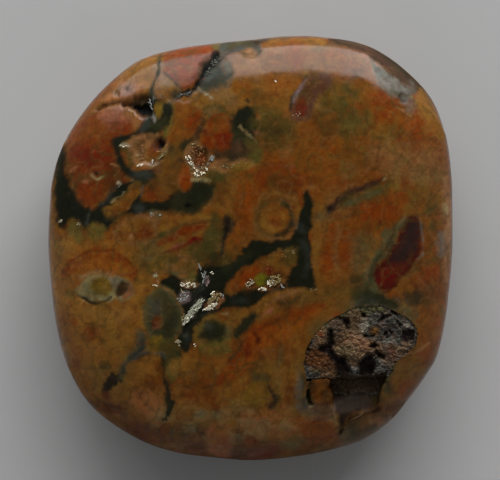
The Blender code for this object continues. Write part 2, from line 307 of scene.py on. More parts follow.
def to_picture(x, y, z):
    """Picture pixels where the camera sees places in millimetres."""
    scale = FOCAL_PIXELS / (CAMERA_HEIGHT - z)
    return (
        IMAGE_SIZE[0] / 2 + scale * (x - CAMERA_PLACE[0]),
        IMAGE_SIZE[1] / 2 - scale * (y - CAMERA_PLACE[1]),
    )


def from_picture(px, py, z):
    """Places in millimetres, at height z, that the camera sees at those picture pixels."""
    scale = FOCAL_PIXELS / (CAMERA_HEIGHT - z)
    return (
        (px - IMAGE_SIZE[0] / 2) / scale + CAMERA_PLACE[0],
        (IMAGE_SIZE[1] / 2 - py) / scale + CAMERA_PLACE[1],
    )


# Painting and carving

# The threads of weathering: colour, the size of their noise in millimetres, its seed, and their strength
THREADS = [("olive", 2.3, 25, 0.5), ("tan", 1.7, 26, 0.35), ("brown", 1.2, 27, 0.4)]


class Rock:
    """A rock surface that takes marks: colour, dullness, painted glint and depth, one value at each place.

    u and v are places in picture pixels, bent a little by noise so that no edge is a drawn one.
    """

    def __init__(self, u, v, place):
        self.place = place
        self.everywhere = np.arange(len(u))
        self.u = u + bending(place, 11)
        self.v = v + bending(place, 13)
        self.fray = rough_noise(place, 0.8, 15) + 0.6 * rough_noise(place, 0.3, 16, 2)
        self.wear = 1.0 - 0.3 * np.clip(rough_noise(place, 0.6, 17), 0.0, 1.0)
        self.colour = np.tile(pigment("orange"), (len(u), 1))
        self.dull = np.zeros(len(u))
        self.glitter = np.zeros(len(u))
        self.depth = np.zeros(len(u))

    def near(self, points, reach):
        """Which places lie within reach of the points' box."""
        p = np.reshape(points, (-1, 2))
        low, high = p.min(axis=0) - reach, p.max(axis=0) + reach
        hit = (self.u > low[0]) & (self.u < high[0]) & (self.v > low[1]) & (self.v < high[1])
        return np.nonzero(hit)[0]

    def lay(self, index, cover, colour, dull=None, glitter=None, depth=0.0):
        """Blends the colour in by the cover, and with it dullness, painted glint and depth in millimetres."""
        if colour is not None:
            worn = 1.0 if pigment(colour).max() < DARK_PIGMENT else self.wear[index]
            share = (cover * worn)[:, None]
            self.colour[index] = self.colour[index] * (1 - share) + pigment(colour) * share
        if dull is not None:
            self.dull[index] = self.dull[index] * (1 - cover) + dull * cover
        if glitter is not None:
            self.glitter[index] = self.glitter[index] * (1 - cover) + glitter * cover
        if depth:
            self.depth[index] = np.maximum(self.depth[index], depth * cover)

    def edge(self, index, inner, soft):
        """Cover from the distance inside an edge, in pixels: a blend as wide as soft, along a frayed line."""
        soft = SOFTNESS * soft
        return smooth_step(-soft, soft, inner + (FRAY + FRAY_BY_SOFTNESS * soft) * self.fray[index])

    def patch(self, colour, points, soft=2.0, strength=1.0, **more):
        """A smooth closed outline filled with a colour, by its points' x and y in turn.

        Soft is how wide its edge blends, in pixels.
        """
        index = self.near(points, soft + OUTLINE_MARGIN)
        inner = inside_distance(self.u[index], self.v[index], smooth_curve(points, closed=True))
        self.lay(index, strength * self.edge(index, inner, soft), colour, **more)

    def ellipse_share(self, index, x, y, rx, ry, turn):
        """How far out places are as a share of an ellipse's own radius there: 0 in its middle, 1 on it."""
        c, s = math.cos(math.radians(turn)), math.sin(math.radians(turn))
        du, dv = self.u[index] - x, self.v[index] - y
        return np.hypot((du * c - dv * s) / rx, (du * s + dv * c) / ry)

    def spot(self, colour, x, y, size, soft=1.5, strength=1.0, turn=0.0, **more):
        """A disc, or an ellipse of two radii, filled with a colour.

        Turn is in degrees, anticlockwise as seen.
        """
        rx, ry = size if isinstance(size, tuple) else (size, size)
        index = self.near([(x, y)], max(rx, ry) + soft + ROUND_MARGIN)
        inner = (1.0 - self.ellipse_share(index, x, y, rx, ry, turn)) * min(rx, ry)
        self.lay(index, strength * self.edge(index, inner, soft), colour, **more)

    def ring(self, colour, x, y, rx, ry, width, turn=0.0, soft=1.0, strength=1.0, arc=None, **more):
        """An elliptic ring of that width in pixels.

        Arc gives the directions in degrees, anticlockwise from the right, that it spans.
        """
        index = self.near([(x, y)], max(rx, ry) + width + soft + ROUND_MARGIN)
        off = np.abs(self.ellipse_share(index, x, y, rx, ry, turn) - 1.0) * min(rx, ry)
        cover = strength * self.edge(index, width / 2 - off, soft)
        if arc:
            middle, half = math.radians((arc[0] + arc[1]) / 2), math.radians((arc[1] - arc[0]) / 2)
            direction = np.arctan2(y - self.v[index], self.u[index] - x)
            away = np.abs((direction - middle + math.pi) % math.tau - math.pi)
            cover = cover * smooth_step(half + 0.2, half - 0.1, away)
        self.lay(index, cover, colour, **more)

    def vein(self, colour, points, widths, soft=1.0, strength=1.0, **more):
        """A smooth line by its points' x and y in turn.

        Its widths, in pixels, are spread evenly from its start to its end.
        """
        widths = np.atleast_1d(np.array(widths, float))
        index = self.near(points, widths.max() / 2 + soft + OUTLINE_MARGIN)
        off, along = line_distance(self.u[index], self.v[index], smooth_curve(points, closed=False))
        half = np.interp(along, np.linspace(0, 1, len(widths)), widths) / 2
        self.lay(index, strength * self.edge(index, half - off, soft), colour, **more)

    def mottle(self, colour, size, seed, level=0.1, spread=0.5, strength=0.6, box=None):
        """Cloudy patches of a colour where a noise of that size, in mm, is above the level.

        Dark rock stays as it is, and so does what lies outside the box, if there is one.
        """
        cover = strength * smooth_step(level, level + spread, rough_noise(self.place, size, seed))
        cover = cover * self.is_light()
        if box:
            for value, low, high in ((self.u, box[0], box[2]), (self.v, box[1], box[3])):
                cover = cover * smooth_step(low - BOX_SOFTNESS, low + BOX_SOFTNESS, value)
                cover = cover * smooth_step(high + BOX_SOFTNESS, high - BOX_SOFTNESS, value)
        self.lay(self.everywhere, cover, colour)

    def is_light(self):
        """Which places aren't dark rock."""
        return self.colour.max(axis=1) > DARK_PIGMENT

    def weather(self):
        """Thin threads of colour, light and dark clouds, and a drift between redder and greener rock."""
        for colour, size, seed, strength in THREADS:
            ridge = noise_ridges(self.place, size, seed)
            self.lay(self.everywhere, strength * self.is_light() * smooth_step(0.88, 1.0, ridge), colour)
        tone = 1.0 + 0.10 * rough_noise(self.place, 1.9, 21) + 0.13 * rough_noise(self.place, 0.7, 22)
        drift = 0.6 * rough_noise(self.place, 1.5, 23) + 0.4 * rough_noise(self.place, 0.5, 24)
        self.colour *= tone[:, None] * (1.0 + drift[:, None] * np.array([0.07, -0.09, -0.16]))


def paint_ground(rock):
    """The cloudy orange, ochre and rust that lies under every mark."""
    rock.mottle("ochre", 3.4, 31, level=-0.1, strength=0.8)
    rock.mottle("ember", 2.6, 32, level=0.1, strength=0.7)
    rock.mottle("tan", 2.2, 33, level=0.25, strength=0.45)
    rock.mottle("brown", 1.8, 34, level=0.3, strength=0.4)
    rock.mottle("olive", 2.8, 35, level=0.45, strength=0.4)


def paint_upper_left(rock):
    """The rust-red lobe, its amber edge, the groove with its hole, and the black-green vein around them."""
    rock.patch("amber", [50, 150, 60, 120, 108, 62, 140, 42, 163, 48, 150, 95, 120, 99, 98, 105, 72, 140,
        62, 165], 4)
    rock.patch("orange", [70, 118, 100, 80, 116, 72, 120, 80, 108, 98, 94, 110, 84, 122], 4)
    rock.patch("sand", [104, 104, 114, 88, 122, 78, 138, 82, 146, 88, 140, 96, 120, 100], 4, 0.9)
    rock.patch("apricot", [104, 106, 112, 94, 130, 86, 140, 90, 122, 102], 5, 0.6)
    rock.patch("rust", [63, 180, 62, 155, 68, 135, 92, 113, 120, 106, 131, 116, 136, 128, 130, 137, 118, 141,
        113, 150, 117, 163, 127, 171, 128, 180, 119, 188, 106, 192, 95, 206, 86, 205, 72, 186], 2.5)
    rock.patch("orange", [64, 165, 66, 145, 76, 128, 92, 118, 104, 119, 112, 130, 104, 138, 88, 140, 74, 150,
        70, 168], 5, 0.7)
    rock.patch("brick", [72, 152, 82, 145, 108, 152, 112, 160, 102, 164, 76, 162], 5, 0.8)
    rock.patch("brown", [108, 166, 118, 164, 127, 172, 126, 181, 102, 194], 4, 0.7)
    rock.vein("olive", [64, 142, 66, 160, 69, 176, 76, 192], [4, 5, 3], 2.5, 0.7)
    rock.patch("tan", [100, 112, 112, 106, 126, 107, 136, 114, 141, 124, 136, 131, 130, 122, 102, 120], 3,
        0.8)
    rock.spot("rose", 115, 117, (14, 9), 4, 0.9, turn=-15)
    rock.spot("lilac", 127, 90, (9, 6), 3, 0.6, turn=25)
    rock.vein("peach", [69, 171, 74, 169, 78, 168], [2, 3, 1], strength=0.7)
    rock.vein("cream", [91, 175, 95, 179, 100, 180, 103, 177], [2, 3, 2], 0.8, 0.8)
    rock.spot("dark_brown", 97, 174, (3, 2), 1)
    rock.vein("peach", [82, 182, 86, 183, 90, 182], [2, 3, 1], 0.8)
    rock.vein("sand", [111, 164, 116, 166, 120, 165], [1.5, 2, 1], 0.8)

    rock.patch("bottle", [148, 94, 156, 98, 170, 102, 172, 116, 158, 136, 144, 135, 131, 139, 124, 144,
        121, 154, 134, 170, 158, 170, 157, 179, 146, 182, 134, 181, 125, 176, 118, 165, 112, 142, 120, 136,
        132, 134, 143, 124, 148, 112, 146, 102], 2, dull=0.2)
    rock.vein("slate", [146, 114, 148, 124, 142, 132], [3, 6, 4], 4, 0.5)
    rock.vein("slate", [133, 173, 142, 177, 152, 176], [3, 6, 3], 4, 0.5)
    rock.patch("moss", [152, 124, 166, 116, 166, 126, 160, 132, 153, 131], 3)
    # Grey-white streaks by the vein: partly small pale crystals, partly painted glints
    rock.vein("ice", [149, 106, 151, 113, 155, 121], [1, 1.8, 1], 1, 0.7)
    rock.vein("ice", [151, 96, 153, 100, 152, 104], [2, 2, 1], 1, 0.5, glitter=0.6)
    rock.patch("gold", [154, 103, 162, 102, 164, 108, 162, 115, 158, 117, 154, 111], 1.6)
    rock.spot("ochre", 166, 98, (6, 3.5), 2)

    rock.patch("brown", [96, 110, 104, 103, 118, 101, 132, 97, 147, 93, 148, 104, 134, 105, 118, 104], 1.5,
        depth=0.25, dull=0.9)
    rock.patch("umber", [122, 104, 134, 101, 146, 95, 151, 103, 150, 113, 142, 114, 132, 108], 1.5,
        depth=0.5, dull=1.0)
    rock.patch("black", [131, 106, 148, 102, 151, 108, 149, 114], 1.5, depth=0.8, dull=1.0)
    rock.vein("moss", [162, 46, 159, 60, 158, 73, 153, 84, 150, 96], [2, 3, 3, 4, 5], 1.2, dull=0.5)
    rock.vein("umber", [163, 72, 170, 77, 177, 83, 184, 89], [1.5, 2.5, 2.5, 2], 0.8)
    rock.patch("slate", [220, 60, 232, 64, 234, 76, 224, 84, 202, 90, 204, 78], 3, dull=1.0)
    rock.patch("moss", [204, 82, 228, 82, 222, 90, 206, 94, 196, 98], 3, 0.7, dull=0.8)
    rock.patch("grey", [221, 56, 232, 58, 234, 69, 222, 71], 3, 0.6, dull=0.8)
    rock.vein("dark_brown", [112, 91, 116, 92, 120, 96], [1, 2, 1], 0.7, depth=0.12)
    rock.spot("brown", 127, 88, (2, 1.2), 1)


def paint_first_crater(rock):
    """A shallow pit with a pale rim, an orange floor and a dark red hole."""
    rock.patch("tan", [122, 146, 128, 142, 133, 137, 145, 136, 158, 134, 165, 141, 167, 151, 153, 167,
        138, 166, 130, 161, 127, 154], 1.6, dull=0.3)
    rock.vein("sand", [130, 154, 132, 143, 142, 138, 156, 136], [5, 6, 4, 2], 2, 0.8)
    rock.vein("olive", [124, 146, 128, 154, 132, 164], [5, 7, 5], 2.5, 0.9)
    rock.spot("ochre", 149, 151, (13, 12), 3, depth=0.25)
    rock.spot("sand", 142, 149, (6, 8), 3, 0.7)
    rock.spot("ember", 152, 148, (6, 8), 3, 0.7)
    rock.vein("umber", [141, 142, 139, 150, 141, 158], [1, 1.6, 1], 1.2, 0.6)
    rock.spot("wine", 158, 144, (6, 4), 1.5, turn=20, depth=0.4, dull=0.9)
    rock.spot("black", 161, 143, (2.5, 4), 1.5, depth=0.5, dull=1.0)
    rock.spot("sand", 146, 140, (8, 5), 3, 0.8)
    rock.vein("pale", [121, 145, 126, 145, 131, 147], [1.5, 2.5, 1], 1, 0.4)
    rock.vein("cream", [151, 166, 158, 159, 166, 151], [2, 3, 1.5], 1.2, 0.8)
    rock.spot("black", 153, 162, (1.6, 2.6), 0.9, 0.8, turn=-20)
    rock.vein("peach", [134, 158, 138, 164, 146, 167], [2.5, 3.5, 2.5], 1.5, 0.4)


def paint_left_side(rock):
    """The black-green patch by the left edge, with the orange finger and lump in it."""
    rock.patch("bottle", [50, 170, 54, 150, 60, 144, 66, 152, 65, 168, 69, 182, 85, 206, 100, 205, 119, 183,
        127, 182, 160, 172, 178, 190, 176, 205, 165, 212, 130, 214, 118, 219, 106, 233, 100, 225, 92, 223,
        86, 227, 72, 219, 68, 227, 62, 231, 54, 229, 50, 215], 2.5, dull=0.12)
    rock.vein(None, [58, 150, 60, 170, 62, 200, 64, 224], 22, 4, dull=0.9)
    rock.vein("moss", [56, 150, 57, 165, 58, 176], [4, 6, 2], 3, 0.8)
    rock.vein("slate", [90, 209, 89, 216, 87, 223], [1, 1.5, 1], 1, 0.5)
    rock.vein("slate", [103, 205, 110, 196, 118, 188], [4, 5, 2], 2.5, 0.3)
    rock.vein("amber", [50, 166, 50, 190, 51, 210, 52, 226], [7, 8, 9, 11], 2.5, 0.9)
    rock.patch("ochre", [104, 211, 118, 200, 126, 193, 131, 186, 138, 183, 142, 188, 140, 195, 132, 202,
        116, 219], 1.8)
    rock.patch("rust", [112, 212, 118, 206, 126, 205, 117, 218], 2.5, 0.7)
    rock.vein("orange", [124, 204, 132, 195, 137, 188], [4, 6, 4], 2.5, 0.7)
    rock.vein("cream", [111, 203, 116, 199, 121, 197, 126, 192], [1, 2, 1.4, 0.8], 0.9, 0.7)
    rock.patch("orange", [142, 200, 142, 190, 148, 182, 157, 182, 163, 188, 169, 193, 166, 199, 154, 201], 2)
    rock.patch("brick", [146, 196, 150, 189, 156, 191, 156, 198, 150, 201], 3, 0.6)
    rock.vein("grey", [141, 198, 142, 190, 146, 183], [1, 1.6, 1], 0.9, 0.6)
    rock.patch("dark_brown", [168, 186, 178, 184, 180, 206, 170, 210], 4, 0.8)
    rock.patch("slate", [132, 206, 140, 203, 146, 209, 138, 213], 3, 0.4)
    rock.patch("sage", [148, 211, 154, 209, 162, 214, 158, 218, 150, 215], 2, 0.8)
    rock.spot("pale", 153, 214, (2.5, 1.6), 1.2, 0.7)
    rock.spot("slate", 138, 176, (8, 5), 3, 0.35)
    rock.spot("slate", 148, 177, (4, 4), 2.5, 0.5)
    # Pale dots where small crystals glint: partly their pale colour, partly painted glints
    for x, y, size in ((60, 221, 1.5), (79, 224, 1.3), (124, 193, 1.5), (132, 182, 0.9), (119, 184, 2.0)):
        rock.spot("pale", x, y, size, 0.8, 0.9)


def paint_left_field(rock):
    """The ochre lobes under the black patch, and the mossy ground between the streaks and the eye."""
    rock.patch("tan", [118, 224, 142, 214, 153, 219, 159, 228, 156, 239, 134, 246, 113, 238], 2)
    rock.spot("moss", 115, 218, (7, 5), 3, 0.7)
    rock.patch("ochre", [116, 230, 126, 222, 140, 218, 152, 224, 155, 234, 146, 242, 128, 243, 118, 239], 3)
    rock.spot("brick", 145, 233, (9, 6), 4, 0.75, turn=10)
    rock.spot("rust", 124, 237, (8, 6), 4, 0.6)
    rock.spot("sand", 131, 238, (1.8, 2.2), 1)
    rock.patch("yellow_olive", [68, 221, 76, 220, 85, 237, 79, 244, 71, 240, 67, 230], 2)
    rock.patch("yellow_olive", [87, 229, 94, 224, 103, 227, 106, 235, 98, 241, 89, 238], 2.5)
    rock.patch("honey", [50, 232, 60, 229, 78, 246, 66, 262, 62, 290, 52, 296, 46, 262], 4)
    rock.patch("yellow_olive", [54, 248, 60, 243, 65, 252, 62, 266, 55, 268], 4, 0.7)
    rock.spot("orange", 59, 236, (6, 5), 3, 0.7)
    rock.patch("sage", [140, 246, 152, 242, 164, 246, 170, 254, 160, 262, 148, 264, 140, 256], 4, 0.85)
    rock.patch("olive", [138, 262, 166, 264, 164, 274, 152, 278, 142, 274], 5, 0.7)


def paint_eye(rock):
    """The eye: a wide honey orb with thin rust rings, and a pale core with a cream ring and a brown hole."""
    rock.spot("honey", 101, 284, (43, 43), 4, 0.8)
    rock.spot("flame", 101, 270, (34, 26), 8, 0.7)
    rock.ring("rust", 101, 286, 38, 36, 4.0, soft=1.6, strength=0.9, arc=(20, 165))
    rock.ring("ember", 101, 286, 33, 31, 4.0, soft=2, strength=0.8, arc=(10, 160))
    rock.spot("lichen", 98, 289, (21, 14.5), 1.5, turn=5)
    rock.ring("cream", 98, 289, 18, 12, 3.0, turn=5, soft=1.2, strength=0.6)
    rock.ring("cream", 98, 288, 22, 16, 3.0, turn=5, soft=3, strength=0.7, arc=(40, 150))
    rock.patch("lichen", [112, 276, 122, 276, 131, 284, 133, 294, 127, 301, 118, 300, 112, 290], 1.5)
    rock.patch("peach", [124, 280, 131, 286, 132, 294, 126, 300, 122, 296, 127, 288], 1.5, 0.8)
    rock.patch("grey", [110, 276, 118, 277, 120, 283, 113, 287, 109, 282], 2, 0.7)
    rock.spot("sage", 91, 291, (6, 6), 2.5, 0.45)
    rock.spot("gold", 101, 286, (10.5, 9), 2)
    rock.spot("yellow_olive", 99, 292, (7, 4), 2.5, 0.6)
    rock.spot("brown", 121, 289, (6, 8.5), 1.5, turn=-22, depth=0.2)
    rock.spot("umber", 119, 291, (3.8, 6), 1.6, 0.8, turn=-22)
    rock.vein("dark_brown", [79, 297, 86, 299, 92, 303, 98, 305, 104, 302, 110, 297], [1.5, 3, 3.2, 2.5, 1],
        0.9, depth=0.1)
    rock.spot("ochre", 104, 307, (7, 5), 2)
    rock.spot("yellow_olive", 71, 294, (6, 5), 3, 0.7)


def paint_lower_left(rock):
    """The rust and amber ground under the eye, down to the left edge."""
    rock.patch("sand", [78, 300, 92, 308, 108, 312, 126, 306, 130, 318, 118, 328, 100, 326], 4, 0.8)
    rock.patch("tan", [50, 300, 58, 296, 62, 316, 70, 350, 86, 388, 104, 412, 96, 412, 72, 380, 56, 340], 3,
        0.6)
    rock.patch("ochre", [98, 322, 118, 318, 130, 330, 132, 346, 112, 370, 98, 366, 94, 345], 5, 0.9)
    rock.patch("rust", [58, 316, 76, 308, 96, 328, 94, 350, 92, 390, 68, 362], 6, 0.35)
    rock.patch("ember", [70, 312, 80, 312, 92, 324, 94, 334, 82, 334, 70, 326], 5, 0.7)
    rock.spot("olive", 81, 338, (5, 9), 4, 0.7)
    rock.patch("olive", [92, 372, 106, 366, 120, 370, 128, 390, 112, 396, 96, 394], 4)
    rock.patch("dark_brown", [101, 386, 113, 374, 127, 379, 119, 383, 107, 393], 2.5)
    rock.vein("umber", [110, 376, 118, 378, 128, 380], [3, 3, 1.5], 1.2)
    rock.patch("deep_orange", [92, 398, 106, 394, 142, 414, 148, 422, 142, 434, 130, 438, 102, 414], 4)
    rock.vein("ochre", [98, 412, 116, 430, 138, 444, 164, 454, 196, 460], [5, 6, 6, 6, 5], 3, 0.8)
    rock.patch("brown", [108, 396, 124, 396, 130, 404, 120, 410, 108, 404], 4, 0.6)
    rock.patch("brick", [124, 412, 136, 412, 144, 420, 136, 430, 126, 428], 4, 0.6)
    # A faint dark line along the lower-left edge: painted shade where the edge turns away from the window
    rock.vein("umber", [86, 396, 104, 414, 124, 430, 146, 443, 170, 452, 200, 459], [5, 6, 6, 6, 5], 5, 0.3)
    rock.patch("orange", [146, 430, 158, 424, 164, 432, 160, 442, 150, 440], 3, 0.8)
    rock.vein("dark_brown", [140, 424, 150, 426, 160, 430, 164, 440], [3, 4, 5], 2.5, 0.7)


def paint_green_orb(rock):
    """The dark green orb with a pale rim and a red dot, and the ochre spot and grey vein below it."""
    rock.patch("sage", [148, 293, 157, 287, 167, 288, 176, 297, 182, 310, 182, 326, 176, 338, 166, 344,
        154, 341, 146, 330, 143, 316], 1.8)
    rock.patch("moss", [154, 292, 164, 291, 173, 299, 179, 311, 179, 325, 173, 337, 162, 340, 152, 334,
        147, 318], 3, 0.6)
    rock.patch("moss", [164, 318, 172, 312, 177, 322, 173, 334, 165, 338, 160, 330], 4, 0.7)
    rock.vein("tan", [160, 287, 169, 290, 176, 298, 181, 309, 182, 320], [1, 1.8, 1.8, 1], 0.9, 0.8)
    rock.patch("slate", [149, 304, 155, 298, 161, 304, 160, 314, 152, 318], 4, 0.5)
    rock.spot("brown", 157, 321, (5, 6), 1.6, turn=-15)
    rock.spot("brick", 157, 322, (3, 3.5), 1.8, 0.6)
    rock.spot("rose", 156.5, 327, (2.2, 1.2), 0.8, 0.4)
    rock.patch("gold", [146, 342, 152, 337, 161, 338, 165, 345, 160, 350, 150, 350], 2.5)
    rock.patch("olive", [158, 344, 170, 340, 178, 346, 176, 356, 164, 354], 3)
    rock.vein("sage", [141, 332, 142, 341, 138, 350, 130, 356, 125, 363, 122, 372, 121, 378], [8, 10, 11, 9,
        7, 6, 3], 2.5, 0.8)
    rock.vein("slate", [141, 334, 140, 346, 132, 356, 125, 366], [4, 6, 5, 3], 3, 0.6)
    rock.vein("teal", [143, 340, 140, 350, 131, 357, 126, 364, 123, 373], [3, 5, 4, 3, 3], 2, 0.75)
    rock.vein("slate", [134, 360, 140, 355, 148, 352, 156, 353, 166, 357], [1.5, 2.2, 2.2, 1.5], 1, 0.8)
    rock.vein("umber", [140, 358, 147, 354, 155, 355, 162, 358], [1, 1.4, 1], 0.8, 0.6)


def paint_bottom_left_lobes(rock):
    """Round orange and peach lobes between dark seams, along the lower edge on the left."""
    rock.patch("yellow_olive", [126, 378, 140, 362, 148, 362, 138, 374, 132, 388], 2.5)
    rock.patch("orange", [138, 364, 149, 358, 160, 360, 165, 370, 165, 385, 168, 393, 160, 400, 138, 396,
        127, 382], 2)
    rock.patch("peach", [128, 402, 136, 395, 160, 401, 164, 410, 156, 417, 134, 409], 3)
    rock.patch("sand", [150, 416, 160, 414, 162, 424, 154, 426], 3, 0.6)
    rock.vein("moss", [166, 346, 164, 358, 165, 366], [5, 6, 4], 2.5)
    rock.patch("moss", [160, 352, 170, 348, 180, 350, 184, 358, 176, 364, 166, 362], 3)
    rock.vein("dark_brown", [164, 362, 164, 374, 166, 384, 168, 392, 170, 402, 168, 412, 163, 421], [1.5, 2,
        5, 5, 9, 6, 3], 1.5)
    rock.vein("moss", [164, 400, 166, 408, 162, 418], [6, 6, 4], 2.5, 0.7)
    rock.vein("plum", [168, 382, 170, 390, 169, 400], [4, 5, 4], 2, 0.6)
    rock.patch("yellow_olive", [166, 364, 174, 361, 182, 366, 178, 380, 168, 380], 3)
    rock.patch("orange", [180, 372, 184, 358, 196, 352, 232, 352, 240, 362, 236, 384, 220, 396, 184, 396,
        176, 386], 3)
    rock.patch("amber", [182, 372, 188, 360, 198, 356, 202, 366, 194, 380, 184, 384], 4, 0.7)
    rock.patch("ember", [184, 382, 216, 382, 214, 388, 190, 388], 3, 0.5)
    rock.vein("brown", [172, 386, 185, 387, 200, 389, 212, 386, 224, 388, 233, 390], [1, 1.6, 2, 1.6, 1],
        0.9, 0.9)
    rock.patch("deep_orange", [184, 392, 224, 394, 228, 418, 212, 416, 190, 410], 4, 0.8)
    rock.patch("amber", [174, 408, 188, 402, 198, 408, 192, 418, 178, 418], 3)
    rock.patch("amber", [166, 414, 172, 411, 176, 418, 172, 428, 166, 424], 2)
    rock.patch("sage", [170, 430, 184, 420, 200, 414, 212, 420, 208, 432, 176, 438], 3)
    rock.patch("plum", [180, 430, 192, 422, 204, 424, 206, 434, 196, 440, 184, 438], 4, 0.75)
    rock.patch("orange", [168, 440, 204, 442, 216, 454, 196, 456, 176, 450], 4)
    rock.patch("wine", [190, 440, 202, 436, 208, 446, 200, 452], 4, 0.6)
    rock.patch("peach", [206, 434, 213, 424, 224, 422, 232, 430, 236, 442, 232, 454, 220, 458, 208, 450],
        2.5)
    rock.patch("ember", [214, 438, 226, 436, 232, 446, 224, 456, 212, 450], 4, 0.7)
    rock.patch("sage", [200, 412, 212, 408, 222, 414, 214, 422, 204, 420], 3, 0.7)
    rock.patch("bottle", [227, 400, 233, 398, 238, 408, 239, 418, 233, 418], 2)
    rock.patch("umber", [233, 434, 244, 428, 247, 444, 243, 462, 232, 462], 4, 0.5)


def paint_bottom_middle(rock):
    """The yellow orb, the upright ember streak beside it and the lumps along the lower edge."""
    rock.patch("olive", [258, 352, 300, 352, 304, 408, 290, 422, 266, 424, 244, 416, 240, 396], 5, 0.7)
    rock.patch("orange", [250, 344, 270, 336, 294, 332, 306, 340, 298, 356, 256, 362], 5)
    rock.spot("sage", 256, 381, (9, 7), 5, 0.5)
    rock.vein("sage", [284, 350, 280, 365, 278, 380, 282, 394], [5, 7, 7, 4], 3, 0.9)
    rock.patch("orange", [238, 380, 247, 374, 251, 386, 248, 400, 250, 412, 240, 410, 236, 395], 2.5)
    rock.spot("gold", 257, 395, (14, 13), 2.5)
    rock.vein("umber", [268, 388, 273, 396, 275, 403, 270, 410], [1.5, 4, 5, 2.5], 2)
    rock.vein("orange", [289, 350, 288, 370, 288, 390, 285, 408, 283, 420], [12, 11, 10, 9, 5], 2.5)
    rock.vein("grey", [298, 368, 300, 385, 299, 400, 300, 412], [4, 6, 6, 4], 2, 0.8)
    rock.vein("moss", [302, 370, 304, 386, 303, 402], [2, 3, 2], 1.5, 0.8)
    rock.vein("amber", [296, 338, 299, 352, 297, 368], [7, 8, 6], 3, 0.9)
    rock.patch("tan", [240, 410, 250, 408, 262, 414, 262, 424, 250, 430, 242, 424], 4, 0.8)
    rock.patch("honey", [252, 406, 266, 404, 284, 412, 284, 426, 262, 430, 250, 422], 4, 0.6)
    rock.patch("peach", [262, 418, 276, 414, 292, 418, 296, 430, 284, 438, 268, 432], 3)
    rock.vein("umber", [287, 430, 291, 424, 294, 420], [1.5, 2.5, 1.5], 1)
    rock.patch("rust", [245, 441, 251, 433, 262, 431, 275, 436, 280, 446, 274, 455, 262, 459, 250, 455], 2.5)
    rock.patch("yellow_olive", [284, 432, 296, 432, 304, 440, 296, 448, 284, 446], 3)
    # A faint dark line along the lower edge: painted shade where the edge turns away from the window
    rock.vein("umber", [130, 440, 164, 456, 200, 462, 262, 463, 290, 459, 330, 450, 360, 440, 385, 428], [5,
        7, 7, 6, 5, 5, 4, 3], 4, 0.4)
    rock.patch("sand", [296, 422, 304, 418, 318, 417, 330, 420, 336, 430, 334, 441, 324, 445, 312, 444,
        302, 439, 296, 431], 1.5)
    rock.patch("olive", [338, 434, 356, 417, 380, 412, 390, 416, 385, 426, 358, 440, 345, 443], 2.5)
    rock.patch("ochre", [358, 420, 370, 413, 384, 413, 386, 422, 362, 432], 4, 0.9)
    rock.vein("umber", [366, 430, 374, 427, 380, 424], [2, 4, 2], 2, 0.8)
    rock.spot("peach", 379, 422, (6, 5), 3, 0.9)
    rock.vein("sand", [363, 411, 368, 416, 371, 423], [1.5, 2.5, 1], 1.2)


def paint_dark_lens_orb(rock):
    """The ringed dark orb, the mossy lens beside it and the wide slanting ember streak below them."""
    rock.spot("yellow_olive", 213, 332, (21, 19), 3)
    rock.ring("amber", 213, 333, 18, 16, 3, soft=2, strength=0.7)
    rock.spot("moss", 213, 332, (14, 11), 3, turn=10)
    rock.spot("bottle", 215, 334, (8, 6), 3, 0.7)
    rock.spot("slate", 208, 328, (5, 4), 3, 0.4)
    rock.spot("orange", 223, 318, (6, 4), 2, 0.9, turn=-20)
    rock.vein("cream", [221, 313, 225, 313, 229, 316, 230, 321], [1, 2, 2, 1], 0.9, 0.8)
    rock.patch("yellow_olive", [202, 346, 214, 350, 226, 344, 230, 352, 216, 358, 202, 354], 3, 0.8)
    rock.patch("ochre", [229, 314, 236, 308, 243, 312, 242, 326, 236, 338, 229, 334, 226, 324], 2.5)
    rock.spot("sage", 229, 332, (4, 5), 2.5, 0.8)
    rock.patch("moss", [233, 338, 238, 327, 254, 311, 259, 316, 253, 325, 239, 340], 2.5)
    rock.patch("bottle", [240, 332, 253, 315, 255, 319, 243, 335], 3, 0.6)
    rock.patch("ochre", [248, 306, 262, 297, 300, 288, 314, 290, 304, 300, 285, 309, 259, 323, 257, 312],
        2.5)
    rock.patch("brown", [276, 300, 300, 296, 296, 304, 284, 309], 3, 0.8)
    rock.vein("plum", [282, 304, 290, 302, 298, 298], [2, 4, 2], 1.5, 0.8)
    rock.vein("rose", [262, 318, 267, 312, 274, 308], [1.5, 3, 1.5], 1.2, 0.9)
    rock.vein("sand", [266, 306, 278, 299, 292, 293, 304, 291], [1.5, 2, 2, 1], 1.2, 0.7)
    rock.vein("ember", [222, 381, 234, 368, 245, 354, 254, 341, 265, 331, 280, 324, 296, 318, 312, 310,
        330, 304], [9, 15, 18, 19, 18, 18, 16, 14, 8], 4)
    rock.vein("flame", [230, 380, 246, 362, 258, 346, 272, 336, 290, 328, 306, 320, 322, 310], [6, 12, 12,
        14, 11, 8, 4], 4, 0.9)
    rock.vein("brick", [247, 345, 247, 356], [4, 6], 2, 0.8)
    rock.vein("wine", [254, 333, 258, 340], [3, 5], 1.6, 0.9)
    rock.vein("brown", [262, 326, 276, 320, 290, 314], [3, 5, 3], 2.5, 0.6)
    rock.vein("umber", [230, 360, 238, 350, 242, 340], [2, 4, 3], 1.6, 0.8)


